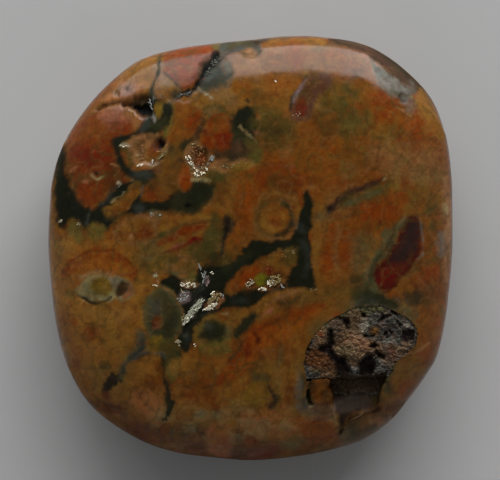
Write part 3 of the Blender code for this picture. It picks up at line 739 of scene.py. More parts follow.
def paint_top_edge(rock):
    """The ember edge, the rust block, the black fissure and the slate patch at the top left."""
    rock.patch("rust", [163, 72, 166, 58, 180, 56, 200, 53, 215, 54, 207, 66, 190, 88, 180, 90, 170, 82],
        1.8, dull=0.25)
    rock.patch("ember", [176, 62, 206, 58, 190, 76, 180, 72], 4, 0.6)
    rock.patch("ember", [166, 55, 178, 47, 200, 42, 215, 43, 214, 53, 196, 55, 178, 58], 2)
    rock.patch("tan", [150, 94, 157, 77, 164, 73, 175, 81, 183, 91, 176, 96, 155, 98], 1.8)
    rock.patch("ochre", [158, 86, 168, 82, 176, 88, 168, 94, 158, 93], 3, 0.7)
    rock.patch("bottle", [213, 48, 226, 56, 224, 63, 208, 77, 204, 85, 190, 98, 180, 101, 170, 98, 175, 91,
        184, 91, 192, 86, 202, 64, 213, 52], 3, dull=1.0, depth=0.1)
    rock.patch("black", [214, 52, 221, 57, 219, 64, 210, 70, 199, 87, 182, 97, 186, 90, 193, 85, 204, 69,
        211, 62], 2.2, dull=1.0, depth=0.22)
    # Blue-grey specks in the fissure, with painted glints on them
    for x, y in ((217, 59), (207, 72), (202, 79), (188, 93), (178, 96)):
        rock.spot("slate", x, y, (2.2, 1.3), 1, 0.8, turn=40, glitter=0.4)
    rock.patch("teal", [211, 70, 218, 66, 222, 72, 221, 83, 202, 87], 2, dull=1.0)
    rock.spot("yellow_olive", 218, 46, (6, 4), 2)
    rock.patch("slate", [221, 43, 240, 38, 257, 38, 262, 48, 258, 57, 246, 58, 238, 54, 222, 55], 1.8,
        dull=0.8)
    rock.patch("olive", [226, 46, 236, 42, 250, 42, 252, 48, 240, 46, 230, 50], 2, 0.7)
    rock.patch("umber", [254, 40, 262, 35, 272, 37, 266, 43, 256, 46], 2)
    rock.spot("ochre", 238, 64, (14, 10), 2.5, turn=20)
    rock.patch("sand", [246, 50, 254, 51, 259, 60, 257, 69, 249, 68], 2.5, 0.8)
    rock.patch("amber", [262, 45, 276, 40, 312, 35, 324, 39, 322, 50, 300, 47, 280, 48], 2.5)
    rock.patch("ember", [276, 44, 310, 40, 306, 47, 286, 50], 3, 0.5)


def paint_top_middle(rock):
    """The ochre field, the slanting ochre lobe with its rust heart, the rust patch and the moss by it."""
    rock.patch("ochre", [240, 72, 292, 72, 288, 108, 262, 116, 240, 110, 231, 98], 6)
    rock.patch("ember", [264, 76, 282, 74, 294, 82, 288, 96, 272, 94], 5, 0.4)
    rock.patch("orange", [234, 84, 246, 82, 254, 88, 246, 96, 234, 94], 3)
    rock.patch("brown", [252, 92, 264, 90, 272, 98, 262, 106, 250, 102], 4, 0.5)
    rock.spot("umber", 248, 100, (2.5, 2), 1.2)
    rock.patch("ochre", [176, 104, 198, 91, 205, 84, 215, 80, 229, 84, 234, 95, 229, 105, 216, 107, 206, 116,
        192, 140, 183, 148, 170, 151, 164, 143, 169, 130], 2)
    rock.patch("tan", [206, 90, 218, 85, 228, 90, 226, 100, 214, 102, 206, 98], 3, 0.8)
    rock.patch("rust", [187, 114, 197, 110, 202, 121, 196, 134, 186, 135, 183, 124], 4)
    rock.patch("orange", [176, 106, 186, 100, 190, 110, 178, 138, 170, 144, 168, 132], 3, 0.8)
    rock.vein("yellow_olive", [174, 104, 170, 118, 166, 130, 162, 142], [3, 6, 6, 3], 2.5)
    rock.vein("pale", [199, 87, 205, 94, 212, 99], [1.2, 2.4, 1.2], 1)
    rock.patch("tan", [222, 96, 234, 94, 238, 104, 228, 110], 3, 0.7)
    rock.patch("olive", [206, 106, 216, 104, 226, 108, 222, 117, 210, 120, 204, 114], 2.5)
    rock.spot("tan", 214, 112, (7, 4), 3, 0.7, turn=20)
    rock.patch("moss", [157, 140, 166, 145, 178, 148, 190, 142, 194, 152, 182, 161, 166, 160], 3, 0.9)
    rock.patch("rust", [204, 130, 210, 119, 221, 115, 231, 119, 235, 132, 233, 146, 226, 155, 216, 157,
        207, 151, 203, 141], 2)
    rock.spot("brick", 224, 139, (8, 8), 4, 0.8)
    rock.patch("orange", [212, 122, 222, 119, 228, 126, 220, 132, 212, 130], 3, 0.7)
    rock.vein("umber", [203, 122, 199, 131, 193, 139, 184, 146], [4, 7, 7, 4], 3)
    rock.patch("moss", [233, 112, 258, 130, 250, 150, 236, 152, 232, 136], 3)
    rock.patch("bottle", [234, 113, 240, 108, 252, 106, 259, 124, 264, 131, 257, 135, 248, 134, 233, 124], 2)
    rock.patch("olive", [256, 108, 268, 106, 276, 116, 266, 124, 258, 118], 4, 0.8)
    rock.patch("moss", [226, 152, 238, 150, 242, 160, 230, 163], 2.5, 0.8)
    rock.vein("cream", [240, 126, 245, 132, 251, 137, 256, 140, 258, 146], [0.8, 1.8, 3, 2, 1], 0.9, 0.8)
    rock.spot("rose", 257, 133, (3.5, 1.8), 1, turn=-15)
    rock.patch("olive", [256, 122, 276, 114, 296, 120, 300, 138, 276, 152, 260, 142], 8, 0.85)
    rock.spot("moss", 272, 132, (9, 7), 5, 0.6)
    rock.patch("yellow_olive", [246, 140, 258, 142, 264, 154, 254, 164, 246, 156], 3)
    rock.patch("moss", [230, 138, 258, 136, 270, 148, 252, 160, 230, 156], 6, 0.45)


def paint_second_crater(rock):
    """A shallow pit, the ochre and dark ground around it, and the yellow-cream streak to its right."""
    rock.patch("ochre", [157, 162, 170, 153, 184, 154, 192, 184, 168, 194, 158, 186], 3)
    rock.patch("brown", [166, 156, 184, 152, 190, 184, 172, 194, 163, 178], 5, 0.6)
    rock.spot("mauve", 158, 170, (3, 4), 2, 0.7)
    rock.patch("umber", [214, 150, 226, 154, 240, 142, 250, 148, 246, 158, 216, 162], 3, 0.9)
    rock.spot("moss", 150, 184, (13, 6), 4, 0.5)
    rock.spot("mauve", 240, 147, (5, 4), 3, 0.7)
    rock.patch("moss", [193, 180, 211, 180, 215, 190, 200, 212, 174, 212, 170, 202, 177, 192, 188, 190], 2.5)
    rock.patch("bottle", [193, 182, 210, 182, 211, 192, 202, 204, 190, 208, 182, 200, 188, 192], 4, 0.7)
    rock.spot("black", 187, 206, (3.5, 2), 1.2)
    rock.patch("ember", [181, 168, 187, 164, 192, 172, 191, 186, 185, 192, 179, 184], 2.2)
    rock.patch("moss", [182, 146, 190, 142, 198, 143, 194, 150, 186, 151], 1.8)
    rock.vein("umber", [176, 159, 183, 161, 189, 163], [1.5, 2.5, 1.5], 1)
    rock.patch("tan", [187, 147, 196, 141, 203, 148, 212, 156, 214, 163, 202, 176, 193, 175, 188, 165,
        185, 154], 1.6, dull=0.5, depth=0.08)
    rock.patch("brown", [192, 151, 202, 149, 209, 157, 207, 167, 199, 169, 193, 161], 2, depth=0.35,
        dull=0.5)
    rock.patch("ember", [195, 156, 204, 154, 206, 162, 198, 165], 2, 0.8)
    rock.patch("olive", [203, 175, 214, 168, 226, 172, 224, 180, 208, 183], 2)
    rock.vein("cream", [192, 179, 200, 180, 210, 181], [1.5, 2.5, 1.2], 1, 0.9)
    rock.patch("sand", [211, 166, 216, 160, 224, 159, 230, 162, 240, 158, 249, 159, 252, 165, 243, 168,
        232, 168, 222, 173, 213, 170], 1.6, 0.6)
    rock.patch("gold", [230, 167, 238, 162, 250, 161, 248, 167, 236, 171], 1.5, 0.8)
    rock.spot("umber", 225, 165, (2, 2.5), 1.2, 0.8)


def paint_centre(rock):
    """The orange and rust ground in the middle, the moss-ringed orb and the streaks to its left."""
    rock.patch("ochre", [212, 176, 234, 174, 238, 190, 234, 208, 222, 212, 212, 206], 4, 0.8)
    rock.patch("brown", [214, 180, 224, 178, 230, 190, 224, 204, 214, 202], 4, 0.55)
    rock.patch("orange", [236, 174, 252, 170, 264, 180, 264, 200, 252, 244, 226, 252, 236, 212], 4)
    rock.patch("ember", [240, 190, 252, 186, 260, 200, 254, 222, 244, 230, 238, 212], 5, 0.7)
    rock.patch("rust", [258, 170, 276, 162, 294, 164, 304, 178, 300, 194, 284, 202, 266, 200, 258, 188], 5,
        0.8)
    rock.patch("brown", [274, 176, 292, 176, 300, 190, 288, 198, 274, 192], 4, 0.5)
    rock.spot("ochre", 278, 216, (25, 24), 4)
    rock.ring("tan", 278, 216, 23, 22, 3.5, soft=1.6, strength=0.8, arc=(200, 350))
    rock.spot("orange", 276, 217, (21, 20), 2.5)
    rock.ring("rust", 276, 217, 20, 19.5, 2, soft=1.2, strength=0.6, arc=(300, 460))
    rock.ring("moss", 275, 218, 17.5, 17, 5, soft=2.5, arc=(-95, 70))
    rock.ring("olive", 275, 218, 17, 16.5, 4, soft=3, strength=0.75, arc=(60, 265))
    rock.spot("amber", 274, 219, (13, 12), 2)
    rock.spot("orange", 273, 217, (9, 8), 3, 0.8)
    rock.spot("brick", 276, 223, (4, 3.5), 3, 0.5)
    rock.patch("umber", [224, 220, 229, 216, 235, 222, 233, 231, 228, 237, 223, 257, 220, 246], 1.6)
    rock.patch("black", [227, 221, 232, 223, 225, 240, 224, 230], 1.5, 0.7)
    rock.patch("olive", [205, 216, 214, 212, 221, 220, 219, 258, 208, 262, 202, 244, 206, 228], 3)
    rock.patch("moss", [208, 254, 222, 250, 232, 256, 226, 268, 208, 268], 3, 0.8)
    rock.vein("amber", [158, 230, 168, 223, 180, 219, 194, 216, 208, 218], [5, 9, 9, 8, 5], 2)
    rock.vein("orange", [166, 222, 178, 217, 192, 213], [3, 4, 3], 2, 0.7)
    rock.vein("olive", [160, 236, 172, 230, 186, 228, 202, 224], [4, 7, 6, 4], 2)
    rock.vein("rust", [160, 244, 174, 237, 188, 231, 203, 226], [5, 8, 8, 5], 1.8)
    rock.patch("crimson", [186, 245, 190, 239, 197, 236, 203, 240, 198, 245, 190, 247], 1.4)
    rock.vein("crimson", [166, 252, 176, 248, 186, 245], [3, 5, 3], 1.5, 0.85)
    rock.vein("rose", [168, 250, 176, 246, 184, 243], [1, 2, 1], 1, 0.8)
    rock.spot("tan", 182, 266, (16, 10), 2.5, turn=10)
    rock.spot("ochre", 184, 265, (11, 6), 3, 0.8, turn=10)
    rock.ring("brown", 182, 266, 14, 8.5, 2, turn=10, soft=1.2, strength=0.5)
    rock.patch("olive", [188, 248, 198, 244, 208, 250, 206, 262, 196, 264], 3)
    rock.mottle("olive", 1.2, 67, level=-0.5, strength=0.7, box=(138, 248, 240, 272))
    # A pale dot where a small crystal glints: partly its pale colour, partly a painted glint
    rock.spot("pale", 156, 275, (1.6, 1.3), 0.9)


def paint_dark_middle(rock):
    """The black-green ground through the middle, with the lens, the yellow disc and the pale flakes in it."""
    rock.patch("bottle", [303, 195, 309, 190, 313, 203, 312, 225, 310, 236, 314, 264, 317, 280, 315, 291,
        294, 287, 268, 295, 260, 301, 250, 306, 238, 308, 228, 307, 218, 313, 208, 316, 200, 322, 194, 332,
        193, 345, 188, 352, 180, 348, 178, 340, 181, 312, 170, 290, 160, 284, 168, 275, 178, 278, 186, 284,
        196, 276, 198, 268, 207, 265, 230, 265, 246, 248, 254, 240, 270, 241, 288, 238, 296, 229, 301, 213],
        1.6, dull=0.15)
    for points in ([190, 300, 200, 292, 208, 280], [302, 240, 308, 256, 307, 276],
                   [186, 332, 188, 340, 187, 346], [296, 222, 304, 232], [232, 300, 246, 299]):
        rock.vein("slate", points, [2, 5, 2], 4, 0.3)
    rock.vein("moss", [226, 270, 238, 262, 250, 254], [4, 7, 3], 3, 0.5)
    rock.patch("orange", [226, 293, 228, 284, 240, 272, 262, 257, 285, 251, 296, 253, 297, 262, 292, 268,
        283, 283, 270, 290, 258, 290, 250, 287, 238, 292], 1.8)
    rock.patch("ember", [228, 291, 244, 272, 258, 266, 256, 278, 240, 290], 3)
    rock.patch("amber", [264, 262, 276, 253, 292, 253, 294, 262, 280, 272, 268, 270], 3)
    rock.patch("olive", [282, 252, 294, 248, 298, 260, 286, 268], 3, 0.9)
    rock.ring("brown", 260, 274, 26, 12, 2, turn=33, soft=1.5, strength=0.5)
    rock.spot("brown", 263, 280, (8.5, 8), 1.4, 0.8)
    rock.spot("citron", 262, 279, (7, 6.5), 1.2)
    rock.patch("brick", [262, 264, 270, 264, 276, 270, 270, 276, 262, 270], 2.5, 0.8)
    rock.patch("ochre", [268, 286, 273, 276, 284, 272, 285, 280, 278, 287], 2, 0.8, dull=0.4)
    rock.patch("sand", [182, 285, 186, 279, 196, 282, 197, 287, 187, 289], 1.6, 0.7)
    rock.patch("lilac", [178, 299, 184, 292, 190, 294, 188, 301, 181, 303], 1.6, 0.8)
    rock.patch("grey", [182, 323, 195, 303, 200, 297, 204, 302, 190, 319], 1.8, 0.9, dull=0.4)
    rock.patch("peach", [204, 306, 211, 298, 216, 291, 223, 294, 224, 301, 217, 307, 208, 310], 1.6,
        dull=0.3)
    rock.patch("sand", [213, 298, 218, 294, 222, 298, 216, 304], 2, 0.9)
    rock.vein("sage", [168, 272, 178, 276, 186, 281], [1.5, 2.5, 2], 1.2)
    rock.patch("yellow_olive", [186, 276, 194, 272, 197, 279, 190, 283], 1.8, 0.9)


def paint_top_right(rock):
    """The mauve oval, the red and ochre mottling, and the bevelled corner, partly painted shade, with its
    chip and pale crescent.
    """
    rock.patch("olive", [318, 96, 335, 87, 355, 86, 358, 100, 368, 115, 362, 130, 345, 134, 335, 125,
        337, 112, 322, 106], 9, 0.95)
    rock.patch("ember", [372, 97, 385, 93, 398, 102, 400, 112, 392, 120, 378, 118], 6, 0.8)
    rock.patch("ember", [396, 120, 430, 112, 442, 122, 434, 132, 412, 136], 6, 0.7)
    rock.patch("brown", [312, 110, 332, 112, 338, 130, 332, 142, 316, 140], 6, 0.6)
    rock.patch("tan", [372, 146, 392, 140, 420, 144, 440, 156, 440, 180, 390, 178], 6, 0.7)
    rock.patch("olive", [340, 148, 356, 144, 372, 152, 372, 172, 352, 178, 340, 166], 9, 0.3)
    rock.mottle("yellow_olive", 1.1, 61, level=0.1, spread=0.5, strength=0.4, box=(330, 90, 445, 200))
    rock.mottle("rust", 1.2, 62, level=0.15, spread=0.5, strength=0.5, box=(330, 90, 445, 200))
    rock.patch("orange", [300, 122, 312, 122, 318, 140, 316, 160, 304, 170, 294, 150], 5, 0.8)
    rock.patch("mauve", [290, 113, 292, 100, 306, 78, 318, 74, 331, 76, 333, 84, 322, 93, 316, 101, 312, 113,
        306, 120, 296, 121], 2.2)
    rock.patch("brown", [300, 96, 308, 84, 320, 79, 324, 84, 314, 94, 306, 106, 299, 108], 4, 0.6)
    rock.vein("umber", [307, 77, 300, 88, 293, 99, 290, 110], [1.5, 2.6, 2.6, 1.5], 1)
    rock.vein("lilac", [306, 80, 299, 90, 294, 101], [1.2, 2.6, 1.2], 1.2, 0.7)
    rock.patch("brick", [296, 104, 303, 99, 308, 108, 303, 116, 296, 113], 3, 0.8)
    rock.vein("dark_brown", [381, 139, 379, 150, 377, 161], [0.6, 1.2, 0.6], 0.8, 0.6)
    # The bevelled corner beyond the ridge: umber and mauve, partly the chipped facet's rough rock and partly
    # painted shade for the facet turned away from the window
    rock.patch("umber", [330, 38, 350, 32, 372, 36, 398, 52, 420, 75, 428, 87, 416, 93, 410, 98, 399, 84,
        369, 56, 350, 48, 334, 46], 1.8, dull=0.8)
    rock.spot("grey", 409, 90, (5, 7), 3, 0.7, turn=-40)
    rock.patch("mauve", [340, 42, 358, 40, 380, 54, 402, 74, 412, 90, 378, 60, 358, 48], 3, 0.5)
    rock.patch("grey", [374, 66, 388, 76, 404, 92, 398, 98, 384, 90, 375, 78], 2)
    rock.patch("sage", [376, 72, 385, 84, 398, 92, 388, 93, 378, 83], 2, 0.8)
    rock.patch("grey", [371, 61, 394, 78, 407, 93, 401, 95, 388, 83, 376, 72], 1.3, dull=0.6)
    rock.patch("umber", [397, 95, 402, 93, 407, 97, 406, 103, 400, 102], 1.3, depth=0.05, dull=0.7)
    rock.patch("grey", [402, 98, 412, 98, 418, 108, 408, 112], 3, 0.5)
    rock.vein("sand", [396, 106, 404, 112, 412, 117], [1.2, 2.2, 1.2], 1)
    rock.vein("cream", [411, 97, 417, 102, 424, 109], [0.8, 1.6, 0.8], 0.7)
    rock.patch("amber", [419, 88, 428, 92, 447, 130, 440, 140, 426, 122, 416, 104], 3, dull=0.8)
    rock.patch("brown", [350, 68, 358, 68, 362, 76, 354, 80], 2.5, 0.7)


def paint_right_middle(rock):
    """Bands between the dark ground and the right edge, with the plum lens, the dark red lens and a painted
    reflection along the edge.
    """
    rock.vein("ochre", [322, 218, 317, 238, 316, 262, 319, 284], [5, 7, 7, 5], 2)
    rock.patch("ember", [348, 212, 368, 203, 390, 204, 402, 214, 392, 223, 372, 220, 356, 224], 3, 0.9)
    rock.patch("orange", [334, 216, 352, 212, 362, 224, 352, 246, 336, 250], 6, 0.7)
    rock.vein("ember", [332, 226, 329, 244, 328, 262, 330, 280], [6, 8, 8, 5], 5, 0.8)
    rock.vein("tan", [338, 226, 337, 246, 338, 268], [3, 4, 3], 2.5, 0.7)
    rock.vein("ember", [346, 232, 344, 250, 346, 270], [7, 9, 7], 5, 0.7)
    rock.patch("sage", [352, 242, 364, 236, 374, 248, 357, 282], 6, 0.5)
    rock.patch("umber", [350, 280, 362, 276, 374, 282, 372, 293, 358, 294], 3, 0.8)
    rock.patch("plum", [325, 210, 331, 203, 350, 188, 362, 184, 383, 178, 379, 184, 366, 190, 344, 203,
        336, 211, 328, 214], 2, 0.85)
    rock.spot("black", 329, 208, (3.5, 2.5), 1.5, 0.8, turn=40)
    rock.patch("olive", [339, 204, 352, 196, 380, 185, 389, 182, 389, 190, 376, 197, 350, 207, 340, 210], 3,
        0.8)
    rock.patch("sage", [346, 204, 358, 197, 384, 188, 376, 194, 350, 206], 2, 0.8)
    rock.spot("cream", 383, 181, (2.2, 1.4), 1, turn=20)
    rock.spot("sage", 322, 216, (5, 6), 3, 0.6)
    rock.patch("sage", [402, 220, 393, 227, 383, 231, 381, 245, 366, 268, 364, 282, 371, 294, 380, 291,
        376, 278, 377, 266, 393, 248, 406, 223], 2)
    rock.vein("moss", [396, 230, 389, 244, 380, 256, 373, 268, 372, 284], [2, 3, 4, 4, 2], 2, 0.7)
    rock.vein("orange", [428, 222, 430, 245, 428, 264, 418, 280, 402, 292], [12, 14, 15, 15, 12], 3)
    rock.patch("ember", [414, 276, 428, 266, 438, 272, 430, 286, 416, 290], 4, 0.8)
    rock.patch("wine", [375, 268, 390, 254, 405, 222, 411, 216, 418, 220, 421, 232, 418, 258, 405, 277,
        389, 291, 382, 292, 376, 286], 1.4)
    rock.patch("plum", [394, 252, 412, 219, 418, 242, 402, 262, 393, 262], 7)
    rock.patch("crimson", [379, 278, 388, 268, 400, 264, 406, 268, 390, 286, 382, 287], 4, 0.6)
    rock.vein("grey", [420, 222, 423, 238, 422, 252, 417, 264], [1, 1.4, 1.4, 1], 0.9, 0.5)
    rock.patch("grey", [438, 236, 446, 236, 449, 248, 446, 258, 438, 254], 3, 0.8)
    # A pale band along the right edge: painted reflection of the pale floor on the steep side
    rock.vein("sand", [445, 180, 448, 205, 449, 230, 447, 256, 445, 280], [5, 7, 7, 7, 5], 2.5, 0.8)
    rock.spot("cream", 446, 209, (3, 5), 2)
    rock.spot("olive", 431, 210, (7, 5), 3, 0.8)
    rock.spot("olive", 433, 227, (4, 6), 3, 0.7)


def paint_vug_surround(rock):
    """Sage and moss above the vug, ochre to its right and left, its open south slope, and the crack there."""
    rock.patch("orange", [412, 300, 424, 296, 436, 302, 434, 330, 430, 348, 418, 346, 416, 322], 4)
    rock.patch("ochre", [405, 350, 418, 345, 428, 352, 431, 366, 421, 386, 406, 399, 390, 403, 379, 398,
        385, 378], 2.5)
    rock.patch("ember", [418, 350, 430, 350, 432, 362, 422, 364], 3, 0.7)
    rock.patch("ember", [400, 384, 414, 380, 416, 392, 402, 398], 3, 0.7)
    rock.vein("sage", [393, 352, 390, 366, 387, 380, 386, 394], [5, 9, 9, 5], 3, 0.8)
    rock.vein("moss", [389, 364, 386, 378, 388, 392], [5, 8, 9], 3, 0.8)
    rock.vein("sand", [396, 358, 408, 354, 418, 350, 429, 343], [1.5, 2.6, 2.4, 1], 1.2)
    rock.patch("moss", [402, 294, 412, 290, 422, 294, 418, 304, 408, 306], 3, 0.8)
    rock.patch("sage", [340, 312, 357, 288, 372, 290, 412, 308, 416, 324, 400, 316, 381, 311, 352, 311], 4,
        0.8)
    rock.patch("moss", [350, 298, 358, 288, 394, 298, 396, 308, 380, 309, 360, 306], 4)
    rock.vein("slate", [352, 304, 362, 299, 374, 304, 386, 308], [4, 6, 6, 3], 4, 0.5)
    rock.mottle("grey", 0.3, 86, level=0.05, spread=0.3, strength=0.7, box=(354, 303, 404, 312))
    rock.mottle("bottle", 0.35, 87, level=0.1, spread=0.25, strength=0.8, box=(360, 300, 404, 310))
    rock.patch("ochre", [310, 322, 334, 308, 332, 318, 310, 340], 4)
    rock.spot("sage", 318, 330, (7, 5), 4, 0.7, turn=50)
    rock.spot("ochre", 302, 360, (4, 12), 3, 0.8)
    rock.vein("sage", [302, 372, 303, 384, 302, 396, 304, 406], [2, 3, 4, 4], 4, 0.6)
    rock.patch("ochre", [322, 296, 334, 290, 348, 290, 350, 302, 338, 312, 326, 308], 3, 0.8)
    rock.patch("olive", [284, 300, 310, 292, 352, 272, 362, 284, 356, 300, 340, 304, 300, 304], 6, 0.5)
    rock.patch("umber", [412, 284, 430, 282, 440, 296, 428, 308, 414, 302], 4, 0.5)
    rock.patch("pink_grey", [300, 408, 312, 402, 326, 402, 335, 408, 334, 416, 316, 418, 302, 414], 4, 0.9)
    rock.patch("cream", [304, 410, 312, 408, 312, 416, 304, 416], 4, 0.3)
    rock.vein("sand", [304, 418, 316, 417, 326, 416, 333, 412], [1, 1.6, 2, 1], 1.2, 0.6)
    rock.patch("floor_brown", [330, 378, 352, 384, 368, 380, 382, 386, 380, 402, 368, 410, 352, 416,
        340, 432, 333, 404], 2.5, dull=1.0)
    rock.vein("druse_grey", [336, 404, 352, 399, 372, 395], [2, 3, 1], 2, 0.3)
    rock.patch("olive", [370, 384, 379, 384, 379, 400, 373, 404], 3, 0.6)
    rock.patch("brown", [308, 378, 318, 374, 329, 378, 333, 403, 310, 400], 2)
    rock.vein("orange", [318, 380, 319, 390, 318, 400], [5, 7, 5], 3, 0.7)
    rock.vein("moss", [309, 377, 309, 386, 308, 396, 310, 404], [2, 3, 3, 4], 1.2, dull=1.0)
    rock.vein("slate", [304, 400, 305, 407], [2, 3], 1.2)
    rock.vein("dark_brown", [372, 416, 381, 414, 391, 416], [1.5, 3, 2], 1.2, 0.8)
    rock.vein("umber", [340, 433, 352, 419, 366, 412, 379, 408], [5, 5, 5, 5], 1.5, dull=1.0)
    rock.vein("tan", [352, 418, 358, 414, 366, 412], [1, 1.6, 1], 1, 0.6)


def paint_clouds(rock):
    """Paler and yellower clouds over the left and the bottom: painted light that lifts the shade falling on
    these sides of the stone.

    The lobes, the dark veins between them, the yellow orb and the orange block are laid again on the clouds.
    """
    rock.mottle("honey", 1.6, 64, level=-0.4, strength=0.65, box=(50, 245, 190, 425))
    rock.mottle("honey", 1.4, 66, level=-0.4, strength=0.6, box=(215, 358, 325, 440))
    rock.patch("apricot", [130, 398, 142, 391, 160, 394, 164, 408, 154, 416, 136, 410], 4, 0.7)
    rock.vein("moss", [166, 384, 168, 396, 169, 408, 165, 422], [3, 5, 7, 4], 2)
    rock.vein("moss", [230, 398, 236, 408, 240, 422, 238, 436], [4, 7, 6, 3], 2)
    rock.patch("mauve", [183, 424, 198, 419, 207, 428, 200, 440, 184, 438], 5, 0.6)
    rock.patch("apricot", [208, 430, 220, 422, 232, 430, 234, 446, 224, 456, 210, 450], 4, 0.6)
    rock.patch("apricot", [240, 416, 276, 410, 294, 416, 294, 436, 264, 440, 242, 434], 5, 0.65)
    rock.patch("honey", [222, 386, 244, 376, 248, 396, 240, 412, 224, 404], 5, 0.6)
    rock.mottle("cream", 1.3, 63, level=-0.3, strength=0.5, box=(155, 406, 345, 444))
    rock.mottle("honey", 0.9, 65, level=-0.3, strength=0.5, box=(165, 395, 345, 445))
    rock.spot("gold", 256, 395, (14, 13), 2.5, 0.8)
    rock.spot("honey", 259, 392, (9, 7), 4, 0.6)
    rock.vein("umber", [268, 386, 273, 396, 274, 404, 268, 410], [1, 3, 4, 2], 2)
    rock.patch("flame", [297, 422, 306, 418, 328, 419, 336, 430, 330, 443, 308, 443], 2)
    rock.vein("sand", [300, 423, 312, 419, 326, 420], [1.5, 3, 1.5], 1.5, 0.7)


def carve_face(rock):
    """Hollows round the crystals, the crevice, the chip in the edge, and the less glossy lower edge."""
    rock.vein(None, [70, 370, 104, 414, 146, 443, 200, 459, 262, 461, 330, 448], 16, 4, dull=0.7)
    rock.spot(None, 275, 282, (11, 8), 3, turn=20, depth=0.22)
    rock.spot(None, 250, 284, (5, 4), 2, depth=0.15)
    rock.patch(None, [180, 332, 186, 316, 198, 298, 212, 292, 222, 294, 212, 310, 198, 318, 188, 334], 3,
        depth=0.25)
    rock.vein(None, [310, 376, 309, 386, 308, 396, 310, 404], [2, 3, 3, 2], 1.2, depth=0.7)
    rock.patch("mauve", [384, 409, 402, 402, 404, 410, 394, 416], 2, 0.6, depth=0.2, dull=1.0)


# The orbs of the sides and the underside: how many, their radii in millimetres, the arc length at which
# they start, how much noise bends them, and the colours of their rims and hearts
ORB_SEED = 5
ORB_COUNT = 80
ORB_RADII = (1.0, 3.2)
ORB_BAND = ARC_WIDEST - 3.0
ORB_BEND = 0.3
ORB_REACH = 1.3
ORB_RIMS = ["cream", "tan", "moss", "sage", "brown"]
ORB_HEARTS = ["orange", "rust", "gold", "olive", "ember"]


def paint_wild(rock):
    """The rock where no mark was placed: dark veins and patches, and orbs at seeded places.

    An orb is four layers by the distance from its middle as a share of its radius: an ochre disc, a rim,
    a heart and a brown core. The square root spreads the orbs evenly over the underside.
    """
    paint_ground(rock)
    ridge = noise_ridges(rock.place, 6.5, 71)
    rock.lay(rock.everywhere, 0.7 * smooth_step(0.76, 0.92, ridge), "moss")
    rock.lay(rock.everywhere, smooth_step(0.84, 0.97, ridge), "bottle")
    rock.mottle("bottle", 3.6, 73, level=0.38, spread=0.12, strength=0.95)
    rock.mottle("yellow_olive", 2.0, 74, level=0.2, spread=0.3, strength=0.6)
    rng = np.random.default_rng(ORB_SEED)
    bend = np.stack([rough_noise(rock.place, 1.4, seed, 2) for seed in (75, 76, 77)], axis=1)
    bent = rock.place + ORB_BEND * bend
    for _ in range(ORB_COUNT):
        arc = ARC[-1] - (ARC[-1] - ORB_BAND) * math.sqrt(rng.random())
        direction = rng.random() * math.tau
        radius = rng.uniform(*ORB_RADII)
        rim, heart = rng.choice(ORB_RIMS), rng.choice(ORB_HEARTS)
        away = np.interp(arc, ARC, ARC_SHARE) * outline_radius(direction)
        height = np.interp(arc, ARC, ARC_HEIGHT)
        centre = np.array([away * math.cos(direction), away * math.sin(direction), height])
        off = np.sqrt(((bent - centre) ** 2).sum(axis=1)) / radius
        index = np.nonzero(off < ORB_REACH)[0]
        off = off[index]
        layers = [("ochre", off, 1.1, 0.85, 0.8), (rim, np.abs(off - 0.8), 0.24, 0.04, 0.6),
                  (heart, off, 0.65, 0.35, 0.8), ("umber", off, 0.25, 0.05, 0.5)]
        for colour, share, outer, inner, strength in layers:
            rock.lay(index, strength * smooth_step(outer, inner, share), str(colour))


# The order in which the face is painted, from the lowest marks to the uppermost
FACE_MARKS = [
    paint_ground, paint_top_edge, paint_top_middle, paint_top_right, paint_upper_left, paint_first_crater,
    paint_left_side, paint_left_field, paint_lower_left, paint_bottom_left_lobes, paint_bottom_middle,
    paint_clouds, paint_eye, paint_dark_lens_orb, paint_centre, paint_dark_middle, paint_green_orb,
    paint_second_crater, paint_right_middle, paint_vug_surround, carve_face,
]


# The stone's mesh

# Cells along each side of the two grids, how far past the widest girth the upper one reaches, in
# millimetres of arc, and the share of the outline at which the camera's view of the face ends
FACE_CELLS = 280
UNDERSIDE_CELLS = 140
SHOULDER_OVERHANG = 0.8
EDGE_SHARE = 0.985

# Pixels of the view's edge that the marks still cover, and where the seeded pattern starts and is full
EDGE_BAND = 3.0
FADE = (4.0, 14.0)

# The vug's wall falls this deep over this width, its slope ends this far under the face, and its floor is
# at least this deep, in millimetres. The grid is moved onto its rim within this share of a cell, by the
# slope found over a nudge. A block of rock stands in the south-west, with its east and north sides here.
VUG_WALL_WIDTH = 0.35
VUG_WALL_DEPTH = 4.0
VUG_LIP_DROP = 0.12
VUG_LEAST_DEPTH = 0.05
VUG_RIM_SNAP = 0.45
VUG_NUDGE = 0.02
BLOCK_EAST = (9.2, 8.5)
BLOCK_NORTH = (-13.9, -14.5)
BLOCK_RISE = 0.95

# The smallest waves of the polish and the roughness of dull rock, in millimetres, and the angle in degrees
# above which an edge stays sharp
FACE_WAVE = 0.012
DULL_ROUGHNESS = 0.02
SHARP_ANGLE = 42


def disc_grid(cells):
    """A square grid mapped to the unit disc: squares become rings of equal width.

    With a and b the place in the square and |a| the larger, radius = |a| and direction = 45 b/a degrees.
    """
    side = np.linspace(-1.0, 1.0, cells + 1)
    a, b = (g.ravel() for g in np.meshgrid(side, side))
    wide = np.abs(a) > np.abs(b)
    longer = np.where(wide, a, b)
    safe = np.where(longer == 0, 1.0, longer)
    turn = np.where(wide, math.pi / 4 * b / safe, math.pi / 2 - math.pi / 4 * a / safe)
    return np.abs(longer), np.where(longer < 0, turn + math.pi, turn)


